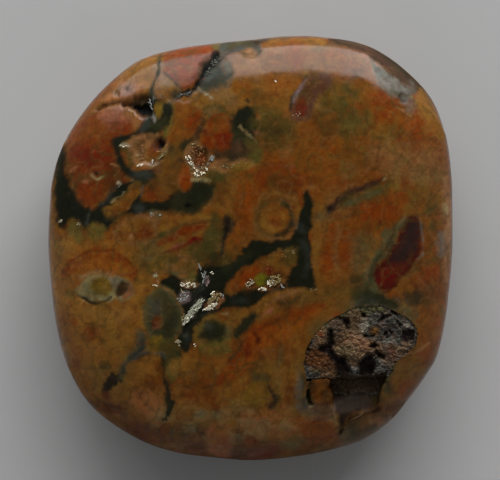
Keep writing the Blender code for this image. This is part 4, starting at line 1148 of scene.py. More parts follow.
def grid_faces(cells, first=0, flipped=False):
    """The grid's quads, anticlockwise from above, or clockwise if flipped."""
    row = cells + 1
    corner = (np.arange(cells)[:, None] * row + np.arange(cells)[None, :]).ravel() + first
    quads = np.stack([corner, corner + 1, corner + row + 1, corner + row], axis=1)
    return quads[:, ::-1] if flipped else quads


def grid_border(cells, first=0):
    """The grid's border vertices in anticlockwise order."""
    row = cells + 1
    k = np.arange(cells)
    sides = [k, cells + k * row, row * row - 1 - k, (cells - k) * row]
    return np.concatenate(sides) + first


def stone_surface(arc, direction):
    """Places in millimetres on the stone, by arc length from the top pole and direction about it."""
    share = np.interp(arc, ARC, ARC_SHARE)
    height = np.interp(arc, ARC, ARC_HEIGHT)
    height = np.where(arc < ARC_WIDEST, np.minimum(height, face_height(share, direction)), height)
    radius = share * outline_radius(direction)
    return np.stack([radius * np.cos(direction), radius * np.sin(direction), height], axis=1)


def grid_normals(places, cells):
    """Unit normals of a grid of places, square to its rows and columns."""
    grid = places.reshape(cells + 1, cells + 1, 3)
    down, across = np.gradient(grid, axis=0), np.gradient(grid, axis=1)
    normal = np.cross(across, down).reshape(-1, 3)
    return normal / np.maximum(np.linalg.norm(normal, axis=1, keepdims=True), 1e-9)


VUG_LOOP = smooth_curve(VUG_RIM, closed=True, steps=6)


def vug_inset(x, y):
    """Distance inside the vug's rim in millimetres, with a slight roughness of the rim itself."""
    place = np.stack([x, y, np.zeros(len(x))], axis=1)
    return inside_distance(x, y, VUG_LOOP) + 0.09 * rough_noise(place, 0.9, 81, 2)


def open_vug(places, step):
    """Sinks the places inside the vug's rim to its floor: steep walls, a long south slope, and a block.

    Places within about half a step of the rim are first moved onto it, against the slope of their distance
    inside it, so that the rim is a clean line. The arrays are changed in place.
    """
    x, y, z = places.T
    inset = vug_inset(x, y)
    near = np.nonzero(np.abs(inset) < VUG_RIM_SNAP * step)[0]
    east = vug_inset(x[near] + VUG_NUDGE, y[near]) - vug_inset(x[near] - VUG_NUDGE, y[near])
    north = vug_inset(x[near], y[near] + VUG_NUDGE) - vug_inset(x[near], y[near] - VUG_NUDGE)
    slope = np.maximum((east**2 + north**2) / (4 * VUG_NUDGE**2), 0.2)
    x[near] -= inset[near] * east / (2 * VUG_NUDGE) / slope
    y[near] -= inset[near] * north / (2 * VUG_NUDGE) / slope
    inset[near] = 0.0
    inside = np.nonzero(inset > 0)[0]
    place = places[inside]
    rise = smooth_step(VUG_SLOPE_FOOT, VUG_SLOPE_TOP, place[:, 1])
    ragged = 0.35 * rough_noise(place, 0.9, 84)
    block = smooth_step(*BLOCK_EAST, place[:, 0] + ragged) * smooth_step(*BLOCK_NORTH, place[:, 1] + ragged)
    rise = np.maximum(rise, BLOCK_RISE * block)
    uneven = 0.18 * rough_noise(place, 1.3, 82) + 0.05 * rough_noise(place, 0.4, 83)
    floor = VUG_FLOOR + uneven + (place[:, 2] - VUG_FLOOR - VUG_LIP_DROP) * rise
    wall = VUG_WALL_DEPTH * np.clip(inset[inside] / VUG_WALL_WIDTH, 0.0, 1.0) ** 0.8
    z[inside] = np.maximum(np.minimum(floor, place[:, 2] - VUG_LEAST_DEPTH), place[:, 2] - wall)
    return inset


def painted(places, u, v, beyond):
    """Colours and relief of places on the stone: its marks, fading to the seeded pattern past the face."""
    marked = Rock(u, v, places)
    for marks in FACE_MARKS:
        marks(marked)
    wild = Rock(u, v, places)
    paint_wild(wild)
    for rock in (marked, wild):
        rock.weather()
    fade = smooth_step(*FADE, beyond + 2.0 * rough_noise(places, 1.2, 85, 2))
    marked.colour += (wild.colour - marked.colour) * fade[:, None]
    for layer in (marked.dull, marked.glitter, marked.depth):
        layer *= 1.0 - fade
    return marked


def mesh_piece(name, places, faces, tint, dull, glitter, smooth):
    """A mesh object from places in millimetres, with its colour, dullness and painted glint as point
    attributes.

    Smooth is the angle in radians below which edges are shaded smooth, or None for flat facets.
    """
    mesh = bpy.data.meshes.new(name)
    mesh.from_pydata((places * MM).tolist(), [], [face.tolist() for group in faces for face in group])
    colour = np.ones((len(places), 4), np.float32)
    colour[:, :3] = np.clip(tint, 0.0, 1.0)
    mesh.attributes.new("tint", "FLOAT_COLOR", "POINT").data.foreach_set("color", colour.ravel())
    for label, values in (("dull", dull), ("glitter", glitter)):
        layer = mesh.attributes.new(label, "FLOAT", "POINT")
        layer.data.foreach_set("value", np.clip(values, 0.0, 1.0).astype(np.float32))
    if smooth:
        mesh.shade_smooth()
        mesh.set_sharp_from_angle(angle=smooth)
    mesh.update()
    made = bpy.data.objects.new(name, mesh)
    bpy.context.scene.collection.objects.link(made)
    return made


def make_stone():
    """The polished stone: a fine grid over its face and shoulder, a coarser one below, joined two to one."""
    last_arc = ARC_WIDEST + SHOULDER_OVERHANG
    radius, direction = disc_grid(FACE_CELLS)
    arc = radius * last_arc
    face = stone_surface(arc, direction)
    edge_arc = np.interp(EDGE_SHARE, ARC_SHARE[ARC <= ARC_WIDEST], ARC[ARC <= ARC_WIDEST])
    seen = stone_surface(np.minimum(arc, edge_arc), direction)
    u, v = to_picture(*seen.T)
    beyond = np.maximum(arc - edge_arc, 0.0) * PIXELS_PER_MM
    normal = grid_normals(face, FACE_CELLS)
    u, v = u + beyond * np.cos(direction), v - beyond * np.sin(direction)
    look = painted(face, u, v, beyond - EDGE_BAND)
    inset = open_vug(face, last_arc * 2 / FACE_CELLS)
    sunk = look.depth * smooth_step(0.25, 0.0, inset)
    look.dull = np.maximum(look.dull, 0.8 * smooth_step(0.0, 0.2, inset))
    uneven = FACE_WAVE * rough_noise(face, 2.6, 91) + DULL_ROUGHNESS * look.dull * rough_noise(face, 0.5, 92)
    face = face - normal * (sunk + uneven)[:, None]

    radius, direction = disc_grid(UNDERSIDE_CELLS)
    arc = ARC[-1] + (last_arc - ARC[-1]) * radius
    under = stone_surface(arc, direction)
    out_of_sight = np.full(len(under), 1e4)
    below = Rock(out_of_sight, out_of_sight, under)
    paint_wild(below)
    below.weather()

    first = len(face)
    upper, lower = grid_border(FACE_CELLS), grid_border(UNDERSIDE_CELLS, first)
    next_lower = np.roll(lower, -1)
    start, middle, end = upper[0::2], upper[1::2], np.roll(upper[0::2], -1)
    strip = np.concatenate([
        np.stack([lower, next_lower, middle], axis=1),
        np.stack([lower, middle, start], axis=1),
        np.stack([next_lower, end, middle], axis=1),
    ])
    faces = [grid_faces(FACE_CELLS), grid_faces(UNDERSIDE_CELLS, first, flipped=True), strip]
    return mesh_piece("polished_stone", np.vstack([face, under]), faces,
                      np.vstack([look.colour, below.colour]), np.concatenate([look.dull, below.dull]),
                      np.concatenate([look.glitter, below.glitter]), math.radians(SHARP_ANGLE))


# The druse

# Its grid, its underside's height, how far it reaches under the vug's rim, how much higher its mounds are
# than the solid's, and how square they are, in millimetres
DRUSE_CELLS = 290
DRUSE_BOTTOM = 8.45
DRUSE_OVERLAP = 0.12
DRUSE_LIFT = 0.35
MOUND_EXPONENT = 2.8

# The shelf of fine crystals just under the face: how deep it lies at the rim and further in, how far in
# that is, and where it ends in the south, with how wide it fades there
SHELF_RIM_DROP = 0.05
SHELF_DROP = 0.5
SHELF_REACH = 3.0
DRUSE_SOUTH = -14.3
SHELF_FADE = 0.3

# How far below the face the lumps and the crystals on them stay
LUMP_CEILING = 0.17
CRYSTAL_CEILING = 0.05

# The crystals: their spacing, height and seed, the deepest gap between them, how much they lean, after how
# many cells their pattern repeats, and how their shade differs from one to the next
DRUSE_GRAINS = [(0.5, 0.16, 101), (0.28, 0.09, 102)]
GRAIN_DIP = -0.07
GRAIN_LEAN = 0.4
GRAIN_TABLE = 64
GRAIN_SHADES = (0.84, 0.28)

# The shelf is painted lighter at its rim by this share, fading in between these places from south to north.
# This is painted light, lifting the shade that the vug's north wall casts on the shelf.
RIM_PAINTED_LIGHT = 0.8
RIM_PAINTED_LIGHT_NORTH = (-10.5, -8.0)


def druse_grains(x, y, size, rise, seed):
    """Height and number of the pointed crystal at each place: the highest of the nine nearest ones.

    Each crystal stands at a seeded place in its cell of that size; its height falls from its tip with the
    largest of its distances square to its six sides, and its whole shape leans a little.
    """
    table = np.random.default_rng(seed).random((GRAIN_TABLE, GRAIN_TABLE, 6))
    cell_x, cell_y = np.floor(x / size).astype(int), np.floor(y / size).astype(int)
    best = np.full(x.shape, -9.0)
    number = np.zeros(x.shape)
    for dx in (-1, 0, 1):
        for dy in (-1, 0, 1):
            cx, cy = cell_x + dx, cell_y + dy
            stray_x, stray_y, tall, turn, lean_x, lean_y = table[cx % GRAIN_TABLE, cy % GRAIN_TABLE].T
            off_x = x - (cx + stray_x) * size
            off_y = y - (cy + stray_y) * size
            side = np.zeros(x.shape)
            for k in range(6):
                angle = turn * math.tau + k * math.pi / 3
                side = np.maximum(side, off_x * np.cos(angle) + off_y * np.sin(angle))
            height = rise * (0.3 + 0.7 * tall) - (0.3 + 0.3 * tall) * side
            height = height + GRAIN_LEAN * ((lean_x - 0.5) * off_x + (lean_y - 0.5) * off_y)
            higher = height > best
            best = np.where(higher, height, best)
            number = np.where(higher, (tall * 7.31 + turn * 3.77) % 1.0, number)
    return np.maximum(best, GRAIN_DIP), number


def paint_druse(rock):
    """The crystals' colours: pinkish tan in the middle, grey to the north-east, and painted shade in the gaps
    between them.
    """
    rock.lay(rock.everywhere, np.ones(len(rock.u)), "druse_grey")
    rock.patch("sage", [330, 314, 350, 306, 376, 304, 384, 311, 362, 316, 340, 322, 316, 334], 3)
    rock.patch("pink_grey", [328, 320, 338, 318, 350, 326, 350, 334, 334, 334], 3)
    rock.patch("druse", [346, 314, 358, 310, 366, 320, 364, 332, 350, 334], 3)
    rock.patch("druse", [334, 336, 345, 328, 362, 332, 371, 340, 369, 352, 355, 368, 347, 362, 339, 358,
        333, 350], 2.5)
    rock.spot("peach", 352, 340, (12, 6), 5, 0.35, turn=-10)
    rock.spot("rose", 363, 346, (5, 6), 4, 0.4)
    rock.spot("lichen", 349, 350, (9, 4), 4, 0.35, turn=20)
    rock.patch("tan", [370, 342, 392, 344, 410, 340, 408, 352, 396, 360, 374, 358], 3, 0.5)
    rock.spot("pink_grey", 388, 354, (6, 10), 3)
    rock.vein("rust", [390, 347, 393, 353, 394, 359], [3, 4, 3], 2.5, 0.45)
    rock.spot("amber", 374, 331, (5, 3.5), 2, 0.9)
    # Dark gaps between the crystals, also carved: painted shade in the hollows
    for points in ([379, 321, 383, 317, 389, 316], [392, 311, 398, 316], [398, 322, 403, 328],
                   [366, 335, 372, 336], [372, 347, 378, 346], [361, 313, 364, 316],
                   [384, 331, 386, 336], [390, 331, 391, 335], [376, 353, 383, 357]):
        rock.vein("gap_shade", points, [2, 4, 2], 1.5, depth=0.4)
    # A plum hollow in the north-east, also carved, partly painted shade
    rock.patch("plum", [405, 330, 414, 329, 414, 338, 407, 342, 402, 339], 1.8, depth=0.6)
    rock.spot("white", 406, 326, (3, 2), 1.5, 0.25)
    rock.spot("white", 365, 325, (3.5, 6), 2, 0.35, turn=15)
    rock.patch("tan", [313, 336, 318, 327, 326, 328, 328, 338, 325, 347, 316, 348], 2.5, 0.6)
    rock.spot("ember", 321, 334, (2, 1.8), 1.5)
    rock.patch("brown", [302, 352, 306, 346, 318, 349, 336, 360, 346, 366, 342, 378, 328, 370, 314, 368,
        303, 362], 2.5)
    rock.patch("orange", [306, 356, 314, 351, 324, 355, 327, 362, 322, 368, 310, 366], 3, 0.45)
    rock.patch("tan", [319, 370, 330, 369, 336, 374, 332, 380, 321, 378], 2, 0.6)
    rock.spot("olive", 315, 370, (4, 4), 2.5, 0.7)
    rock.spot("druse_grey", 378, 367, (5, 8), 2)
    rock.patch("ice", [351, 368, 359, 368, 360, 376, 351, 376], 2, 0.4)
    # Dark gaps and hollows between the crystals, also carved: painted shade
    rock.vein("gap_shade", [331, 317, 340, 317, 346, 321, 348, 328], [2, 3.5, 6, 3], 2, depth=0.5)
    rock.vein("gap_shade", [331, 332, 332, 341, 328, 349, 322, 349], [5, 6, 6, 4], 2, depth=0.6)
    rock.vein("umber", [309, 338, 308, 345, 309, 351], [5, 7, 4], 2.5, depth=0.3)
    rock.vein("gap_shade", [328, 350, 332, 356, 338, 362], [6, 7, 7], 2.5, depth=0.6)
    rock.patch("gap_shade", [336, 360, 343, 358, 348, 366, 347, 377, 337, 378, 335, 368], 2.5, depth=0.8)
    rock.patch("gap_shade", [360, 361, 368, 356, 373, 358, 373, 374, 366, 380, 358, 376, 359, 368], 2.5, depth=0.9)
    rock.patch("pink_grey", [326, 380, 340, 377, 352, 377, 372, 376, 383, 372, 386, 380, 383, 389, 366, 392,
        330, 392], 2, depth=1.2)


def make_druse():
    """The crust of small quartz crystals over the vug's floor, closed below by a skirt and a fan.

    Its height is the highest of the slab, the superellipse mounds and the shelf, less its gaps, plus its
    pointed crystals, and never above the polished face.
    """
    radius, direction = disc_grid(DRUSE_CELLS)
    rim = VUG_LOOP - np.array(VUG_CENTRE)
    angles = np.arctan2(rim[:, 1], rim[:, 0]) % math.tau
    order = np.argsort(angles)
    rim_radii = np.hypot(*rim.T)[order] + DRUSE_OVERLAP
    reach = np.interp(direction % math.tau, angles[order], rim_radii, period=math.tau)
    x = VUG_CENTRE[0] + radius * reach * np.cos(direction)
    y = VUG_CENTRE[1] + radius * reach * np.sin(direction)
    height = np.full(len(x), CRUST_SLAB)
    for mound_x, mound_y, wide, top in CRUST_MOUNDS:
        off = np.hypot(x - mound_x, y - mound_y) / wide
        dome = dome_share(off, MOUND_EXPONENT)
        height = np.maximum(height, CRUST_SLAB + (top + DRUSE_LIFT - CRUST_SLAB) * dome)
    face = height_at(x, y)
    from_rim = (1.0 - radius) * reach
    lumps = rough_noise(np.stack([x, y, face], axis=1), 1.6, 103, 2)
    further_in = smooth_step(0.0, SHELF_REACH, from_rim)
    drop = SHELF_RIM_DROP + (SHELF_DROP - SHELF_RIM_DROP) * further_in + 0.12 * lumps
    shelf = smooth_step(DRUSE_SOUTH - SHELF_FADE, DRUSE_SOUTH + SHELF_FADE, y + 0.2 * lumps)
    height = np.maximum(height, CRUST_SLAB + (face - drop - CRUST_SLAB) * shelf)
    place = np.stack([x, y, height], axis=1)
    look = Rock(*to_picture(x, y, height), place)
    paint_druse(look)
    height = np.maximum(height - look.depth, CRUST_SLAB)
    height = np.minimum(height, face - LUMP_CEILING)
    # Painted light: the crystals by the north rim are made lighter against the wall's shade
    painted_rim_light = 1.0 + RIM_PAINTED_LIGHT * smooth_step(1.0, 0.0, from_rim) * smooth_step(*RIM_PAINTED_LIGHT_NORTH, y)
    look.colour *= painted_rim_light[:, None]
    shade = np.ones(len(x))
    for size, rise, seed in DRUSE_GRAINS:
        grain, number = druse_grains(x, y, size, rise, seed)
        height = height + grain
        shade = shade * (GRAIN_SHADES[0] + GRAIN_SHADES[1] * number)
    height = np.clip(height, DRUSE_BOTTOM + 0.3, face - CRYSTAL_CEILING)
    top = np.stack([x, y, height], axis=1)

    count = len(top)
    border = grid_border(DRUSE_CELLS)
    foot = top[border].copy()
    foot[:, 2] = DRUSE_BOTTOM
    ring = count + np.arange(len(border))
    next_border, next_ring = np.roll(border, -1), np.roll(ring, -1)
    middle = np.full(len(ring), count + len(ring))
    places = np.vstack([top, foot, [[VUG_CENTRE[0], VUG_CENTRE[1], DRUSE_BOTTOM]]])
    faces = [grid_faces(DRUSE_CELLS), np.stack([ring, next_ring, next_border, border], axis=1),
             np.stack([next_ring, ring, middle], axis=1)]
    index = np.concatenate([np.arange(count), border, [0]])
    return mesh_piece("druse", places, faces, (look.colour * shade[:, None])[index], look.dull[index],
                      np.ones(len(places)), None)


# The crystals in the pits

# Where they lie, in picture pixels: middle, half length and half width of the group, its turn in degrees,
# how far their directions stray, how many, their length and width in pixels, and their colour
CRYSTAL_GROUPS = [
    (189, 285, 9, 3, 5, 40, 34, 4.0, 1.3, "white"), (190, 282, 5, 4, 60, 60, 12, 3.5, 1.1, "cream"),
    (184, 297, 8, 4, 30, 60, 34, 3.6, 1.5, "ice"), (182, 292, 4, 1, 90, 15, 5, 5.0, 0.9, "pale"),
    (193, 311, 16, 3.6, 50, 25, 80, 5.5, 1.4, "mint"), (188, 318, 8, 2.5, 55, 25, 20, 5.0, 1.2, "white"),
    (214, 299, 9, 4.5, 50, 50, 36, 4.0, 1.6, "cream"), (210, 307, 8, 2.5, 20, 50, 34, 3.8, 1.3, "white"),
    (213, 294, 3, 2, 40, 60, 8, 3.0, 1.2, "white"), (222, 296, 3, 2, -60, 40, 8, 3.0, 1.0, "ice"),
    (201, 271, 7, 1.2, -70, 12, 12, 6.0, 1.0, "ice"), (204, 275, 7, 1.5, 80, 15, 12, 6.0, 1.0, "ice"),
    (207, 281, 5, 2, 80, 25, 14, 4.5, 1.4, "lilac"), (212, 273, 2, 1, 0, 40, 4, 3.0, 1.4, "white"),
    (157, 277, 8, 2, -80, 20, 16, 4.0, 1.2, "sand"), (156, 286, 3, 1, -20, 30, 6, 3.0, 1.4, "white"),
    (183, 316, 5, 1, 80, 20, 8, 4.0, 1.1, "cream"), (178, 342, 5, 2.5, -45, 50, 18, 3.0, 1.4, "pale"),
    (195, 345, 1.5, 1.5, 0, 90, 4, 2.4, 1.2, "white"), (199, 289, 8, 5, 60, 60, 12, 3.0, 0.9, "grey"),
    (250, 283, 5, 3, 40, 60, 16, 3.0, 1.4, "pale"), (263, 289, 5, 1.2, 0, 40, 14, 2.8, 1.4, "white"),
    (275, 280, 7, 5, 25, 80, 46, 3.6, 1.2, "cream"), (271, 283, 4, 3, 0, 90, 14, 3.0, 1.2, "white"),
    (283, 287, 4, 1, -45, 15, 6, 4.0, 1.0, "ice"), (266, 268, 6, 3, 0, 70, 14, 3.0, 1.1, "peach"),
    (284, 255, 3, 3, 0, 80, 6, 3.0, 1.2, "peach"), (293, 252, 3, 1.5, 10, 40, 5, 3.0, 1.2, "cream"),
    (190, 162, 8, 2.4, -62, 45, 14, 3.2, 1.2, "white"), (200, 172, 8, 4, 15, 60, 18, 3.2, 1.2, "white"),
    (198, 170, 9, 6, 15, 70, 26, 2.8, 1.2, "cream"), (211, 160, 6, 1.8, 60, 30, 12, 3.6, 1.2, "ice"),
    (196, 151, 8, 6, 0, 90, 34, 2.4, 1.0, "sand"), (202, 162, 6, 5, 0, 90, 20, 2.4, 1.0, "peach"),
    (194, 144, 3, 2, 0, 60, 5, 3.0, 1.2, "cream"),
    (140, 165, 3, 1, 10, 30, 6, 3.0, 1.4, "white"), (152, 161, 2.5, 0.8, -75, 15, 4, 3.4, 1.0, "white"),
    (161, 156, 7, 1.2, 38, 20, 8, 4.0, 1.0, "cream"), (160, 152, 4, 0.8, -10, 15, 5, 4.0, 1.0, "sand"),
    (142, 152, 1.5, 8, 0, 60, 10, 2.4, 0.9, "sand"), (125, 146, 5, 1.0, -10, 15, 6, 4.5, 1.0, "white"),
    (232, 165, 18, 2.5, 8, 40, 34, 2.8, 1.1, "cream"), (155, 214, 6, 3, -10, 70, 12, 2.8, 1.1, "ice"),
    (150, 104, 6, 1.5, -75, 30, 10, 3.0, 1.0, "ice"), (160, 97, 6, 1.5, 10, 40, 8, 3.0, 1.0, "grey"),
    (186, 94, 9, 2, 15, 60, 14, 3.0, 1.1, "grey"), (212, 66, 12, 3, 55, 60, 22, 3.0, 1.1, "grey"),
    (62, 221, 2, 1, 0, 40, 3, 2.4, 1.1, "white"), (79, 224, 2, 1, 0, 40, 3, 2.4, 1.0, "pale"),
    (276, 81, 1, 1, 0, 60, 2, 2.4, 1.2, "white"), (118, 186, 7, 2, 40, 30, 8, 3.0, 0.9, "grey"),
    (312, 290, 6, 2, 20, 60, 8, 2.4, 1.0, "cream"), (297, 114, 4, 3, 0, 70, 6, 2.6, 1.0, "pale"),
]

# A blade's middle lies this far under the face in millimetres, and it tilts by up to this many degrees. Its
# points start at this share of its half length, and it is this much flatter than wide.
CRYSTAL_SEED = 8
CRYSTAL_SINK = 0.03
CRYSTAL_TILT = 22.0
BLADE_SHOULDER = 0.6
BLADE_FLATNESS = 0.7
BLADE_SIDES = 6


def make_pit_crystals():
    """Small blades in the pits: each a six-sided rod with pointed ends, lying nearly flat and half sunk.

    Every blade is the same form of two tips and twelve corners, stretched, turned about its own axis, tilted
    and set down.
    """
    rng = np.random.default_rng(CRYSTAL_SEED)
    middle, half_length, half_width, heading, colours = [], [], [], [], []
    for x, y, reach, breadth, turn, stray, count, length, width, colour in CRYSTAL_GROUPS:
        distance, around = np.sqrt(rng.random(count)), rng.random(count) * math.tau
        along, aside = reach * distance * np.cos(around), breadth * distance * np.sin(around)
        c, s = math.cos(math.radians(turn)), math.sin(math.radians(turn))
        middle.append(np.stack([x + along * c - aside * s, y - along * s - aside * c], axis=1))
        half_length.append(length / 2 * rng.uniform(0.5, 1.2, count))
        half_width.append(width / 2 * rng.uniform(0.6, 1.2, count))
        heading.append(np.radians(turn + rng.uniform(-stray, stray, count)))
        colours.append(pigment(colour)[None, :] * rng.uniform(0.7, 1.25, (count, 1)))
    middle, colours = np.vstack(middle), np.vstack(colours)
    half_length, half_width, heading = (np.concatenate(g) for g in (half_length, half_width, heading))
    total = len(middle)
    tilt = np.radians(rng.uniform(-CRYSTAL_TILT, CRYSTAL_TILT, total))
    roll = rng.random(total) * math.tau

    k = np.arange(BLADE_SIDES)
    corners = k * math.pi / 3
    shoulder = np.full(BLADE_SIDES, BLADE_SHOULDER)
    station = np.concatenate([[-1.0], -shoulder, shoulder, [1.0]])
    spoke = np.concatenate([[0.0], np.ones(2 * BLADE_SIDES), [0.0]])
    angle = np.concatenate([[0.0], corners, corners, [0.0]])[None, :] + roll[:, None]
    long = station[None, :] * (half_length / PIXELS_PER_MM)[:, None]
    radius = spoke[None, :] * (half_width / PIXELS_PER_MM)[:, None]
    wide, up = radius * np.cos(angle), BLADE_FLATNESS * radius * np.sin(angle)
    level = long * np.cos(tilt)[:, None] - up * np.sin(tilt)[:, None]
    up = long * np.sin(tilt)[:, None] + up * np.cos(tilt)[:, None]
    mid_x, mid_y = from_picture(*middle.T, height_at(*from_picture(*middle.T, THICKNESS)))
    x = mid_x[:, None] + level * np.cos(heading)[:, None] - wide * np.sin(heading)[:, None]
    y = mid_y[:, None] + level * np.sin(heading)[:, None] + wide * np.cos(heading)[:, None]
    z = (height_at(mid_x, mid_y) - CRYSTAL_SINK)[:, None] + up
    places = np.stack([x, y, z], axis=2).reshape(-1, 3)

    n = (k + 1) % BLADE_SIDES
    low, low_next, high, high_next = 1 + k, 1 + n, 1 + BLADE_SIDES + k, 1 + BLADE_SIDES + n
    corner_count = len(station)
    low_tip, high_tip = np.zeros(BLADE_SIDES, int), np.full(BLADE_SIDES, corner_count - 1)
    tips = np.concatenate([np.stack([low_tip, low_next, low], axis=1),
                           np.stack([high_tip, high, high_next], axis=1)])
    sides = np.stack([low, low_next, high_next, high], axis=1)
    shift = corner_count * np.arange(total)[:, None, None]
    faces = [(tips[None] + shift).reshape(-1, 3), (sides[None] + shift).reshape(-1, 4)]
    count = len(places)
    return mesh_piece("pit_crystals", places, faces, np.repeat(colours, corner_count, axis=0),
                      np.zeros(count), np.ones(count), None)


# Finishes

def add_node(tree, kind, settings=None, **values):
    """A shader node with its settings, and its input sockets set by their names."""
    made = tree.nodes.new("ShaderNode" + kind)
    for name, value in (settings or {}).items():
        setattr(made, name, value)
    for name, value in values.items():
        made.inputs[name.replace("_", " ")].default_value = value
    return made


def remapped(tree, source, from_low, from_high, low, high):
    """The source value with one range stretched to another, held at its ends."""
    made = add_node(tree, "MapRange", From_Min=from_low, From_Max=from_high, To_Min=low, To_Max=high)
    tree.links.new(source, made.inputs["Value"])
    return made.outputs["Result"]


def combined(tree, operation, first, second):
    """Two values joined by a sum, a product or the like."""
    made = add_node(tree, "Math", {"operation": operation})
    for socket, source in zip(made.inputs, (first, second)):
        if isinstance(source, (int, float)):
            socket.default_value = source
        else:
            tree.links.new(source, socket)
    return made.outputs[0]


def new_material(name, roughness):
    """A material with its shader, its node tree and a place node reading the piece's own coordinates."""
    made = bpy.data.materials.new(name)
    made.use_nodes = True
    tree = made.node_tree
    shader = tree.nodes["Principled BSDF"]
    shader.inputs["Roughness"].default_value = roughness
    return made, tree, shader, add_node(tree, "TexCoord").outputs["Object"]


def noise(tree, place, scale, detail=3.0, roughness=0.5, distortion=0.0):
    """A noise value; scale counts its features in a metre."""
    made = add_node(tree, "TexNoise", Scale=scale, Detail=detail, Roughness=roughness, Distortion=distortion)
    tree.links.new(place, made.inputs["Vector"])
    return made.outputs["Fac"]


def attribute(tree, name, output):
    """A value or colour that the mesh has at each point."""
    return add_node(tree, "Attribute", {"attribute_name": name}).outputs[output]


def facet_colours(tree, place, scale):
    """Random values, each the same within one small cell; scale counts the cells in a metre."""
    cells = add_node(tree, "TexVoronoi", Scale=scale)
    tree.links.new(place, cells.inputs["Vector"])
    return cells.outputs["Color"]


def add_bump(tree, shader, height, strength, distance):
    """Fine relief of the shading by a height value; distance is in metres."""
    bump = add_node(tree, "Bump", Strength=strength, Distance=distance)
    tree.links.new(height, bump.inputs["Height"])
    tree.links.new(bump.outputs["Normal"], shader.inputs["Normal"])


def scaled_colour(tree, colour, share):
    """A colour made lighter or darker by a value."""
    made = add_node(tree, "VectorMath", {"operation": "SCALE"})
    tree.links.new(colour, made.inputs[0])
    tree.links.new(share, made.inputs["Scale"])
    return made.outputs[0]


def polished_rhyolite():
    """Polished rock: the painted colours with a fine grain and painted glints, glossy but for its pits, which
    are rough.
    """
    made, tree, shader, place = new_material("polished_rhyolite", 0.15)
    dull, glitter = attribute(tree, "dull", "Fac"), attribute(tree, "glitter", "Fac")
    grain = remapped(tree, noise(tree, place, 5200, 4, 0.65), 0.3, 0.7, 0.93, 1.08)
    cloud = remapped(tree, noise(tree, place, 1300, 5, 0.6, 0.4), 0.3, 0.7, 0.8, 1.22)
    # Painted glints: where the glint attribute is set, small cells are made lighter or darker at random, as
    # if tiny crystals caught the light
    painted_sparkle = remapped(tree, facet_colours(tree, place, 3200.0), 0.0, 1.0, -0.65, 0.75)
    painted_sparkle = combined(tree, "ADD", combined(tree, "MULTIPLY", painted_sparkle, glitter), 1.0)
    share = combined(tree, "MULTIPLY", combined(tree, "MULTIPLY", grain, cloud), painted_sparkle)
    colour = scaled_colour(tree, attribute(tree, "tint", "Color"), share)
    hue = add_node(tree, "HueSaturation")
    shift = remapped(tree, noise(tree, place, 2600, 3, 0.6), 0.3, 0.7, 0.494, 0.506)
    tree.links.new(shift, hue.inputs["Hue"])
    tree.links.new(colour, hue.inputs["Color"])
    tree.links.new(hue.outputs["Color"], shader.inputs["Base Color"])
    smear = remapped(tree, noise(tree, place, 700, 4, 0.6), 0.35, 0.7, 0.10, 0.2)
    rough = combined(tree, "ADD", smear, combined(tree, "MULTIPLY", dull, 0.45))
    tree.links.new(rough, shader.inputs["Roughness"])
    gloss = remapped(tree, dull, 0.0, 1.0, 0.23, 0.04)
    tree.links.new(gloss, shader.inputs["Specular IOR Level"])
    pitted = combined(tree, "MULTIPLY", noise(tree, place, 6000, 4, 0.7), combined(tree, "ADD", dull, 0.06))
    add_bump(tree, shader, combined(tree, "ADD", pitted, noise(tree, place, 350, 2)), 1.0, 0.00002)
    return made


def drusy_quartz():
    """Small quartz crystals: pale facets, some clearer and darker than others, with a fine frost."""
    made, tree, shader, place = new_material("drusy_quartz", 0.3)
    grain = remapped(tree, noise(tree, place, 7000, 3, 0.6), 0.3, 0.7, 0.75, 1.25)
    facet = remapped(tree, facet_colours(tree, place, 2900.0), 0.0, 1.0, 0.78, 1.22)
    share = combined(tree, "MULTIPLY", grain, facet)
    tree.links.new(scaled_colour(tree, attribute(tree, "tint", "Color"), share), shader.inputs["Base Color"])
    frost = remapped(tree, noise(tree, place, 3000, 3), 0.3, 0.7, 0.45, 0.75)
    tree.links.new(frost, shader.inputs["Roughness"])
    shader.inputs["Specular IOR Level"].default_value = 0.18
    add_bump(tree, shader, noise(tree, place, 9000, 3), 0.6, 0.00003)
    return made


def pale_floor():
    """Matt off-white paper."""
    made, tree, shader, place = new_material("pale_paper", 0.85)
    share = remapped(tree, noise(tree, place, 60, 3), 0.3, 0.7, 0.46, 0.48)
    colour = add_node(tree, "CombineColor")
    for socket in colour.inputs[:3]:
        tree.links.new(share, socket)
    tree.links.new(colour.outputs[0], shader.inputs["Base Color"])
    shader.inputs["Specular IOR Level"].default_value = 0.1
    return made


# The pieces, the floor, the light and the camera

stone = make_stone()
stone.data.materials.append(polished_rhyolite())
crystal_finish = drusy_quartz()
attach(stone, "root")
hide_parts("stone")

druse = make_druse()
druse.data.materials.append(crystal_finish)
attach(druse, "root")
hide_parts("vug_crust")

crystals = make_pit_crystals()
crystals.data.materials.append(crystal_finish)
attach(crystals, "root")

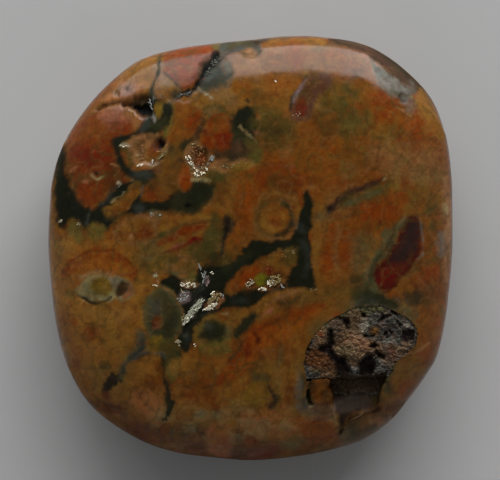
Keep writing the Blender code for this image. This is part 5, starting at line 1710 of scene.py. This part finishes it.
FLOOR_REACH = 2.0
floor_corners = [(a * FLOOR_REACH, b * FLOOR_REACH, 0.0) for a, b in ((-1, -1), (1, -1), (1, 1), (-1, 1))]
floor_mesh = bpy.data.meshes.new("floor")
floor_mesh.from_pydata(floor_corners, [], [(0, 1, 2, 3)])
floor_mesh.materials.append(pale_floor())
floor = bpy.data.objects.new("floor", floor_mesh)
bpy.context.scene.collection.objects.link(floor)

# The window: its distance in metres and its power; each pane's middle, width and height as shares of the
# distance, and its brightness; the room's brightness straight up and at the horizon
WINDOW_DISTANCE = 1.05
WINDOW_POWER = 23.0
PANES = [(-0.71, 0.62, 1.0, 0.4), (-0.07, 0.68, 0.94, 0.92), (0.56, 0.58, 1.0, 1.15)]
ZENITH_LIGHT = 0.1
HORIZON_LIGHT = 0.42

for number, (middle, width, height, share) in enumerate(PANES):
    pane = bpy.data.lights.new("window_pane_%d" % number, "AREA")
    pane.shape = "RECTANGLE"
    pane.size = width * WINDOW_DISTANCE
    pane.size_y = height * WINDOW_DISTANCE
    pane.energy = WINDOW_POWER * width * height * share
    pane_object = bpy.data.objects.new(pane.name, pane)
    pane_object.location = (middle * WINDOW_DISTANCE, WINDOW_DISTANCE, height * WINDOW_DISTANCE / 2)
    pane_object.rotation_euler = (math.radians(-90), 0.0, 0.0)
    pane_object.visible_camera = False
    bpy.context.scene.collection.objects.link(pane_object)

world = bpy.data.worlds.new("room")
world.use_nodes = True
sky = world.node_tree
upward = add_node(sky, "SeparateXYZ")
sky.links.new(add_node(sky, "TexCoord").outputs["Generated"], upward.inputs[0])
glow = remapped(sky, upward.outputs["Z"], 0.0, 1.0, HORIZON_LIGHT, ZENITH_LIGHT)
sky.links.new(glow, sky.nodes["Background"].inputs["Strength"])
sky.nodes["Background"].inputs["Color"].default_value = (1.0, 1.0, 1.0, 1.0)
bpy.context.scene.world = world

camera_data = bpy.data.cameras.new("camera")
camera_data.sensor_fit = "HORIZONTAL"
camera_data.sensor_width = SENSOR
camera_data.lens = FOCAL_PIXELS / IMAGE_SIZE[0] * SENSOR
camera_data.clip_start = 0.01
camera = bpy.data.objects.new("camera", camera_data)
camera.location = (CAMERA_PLACE[0] * MM, CAMERA_PLACE[1] * MM, CAMERA_HEIGHT * MM)
bpy.context.scene.collection.objects.link(camera)
bpy.context.scene.camera = camera
bpy.context.scene.view_settings.view_transform = "Standard"
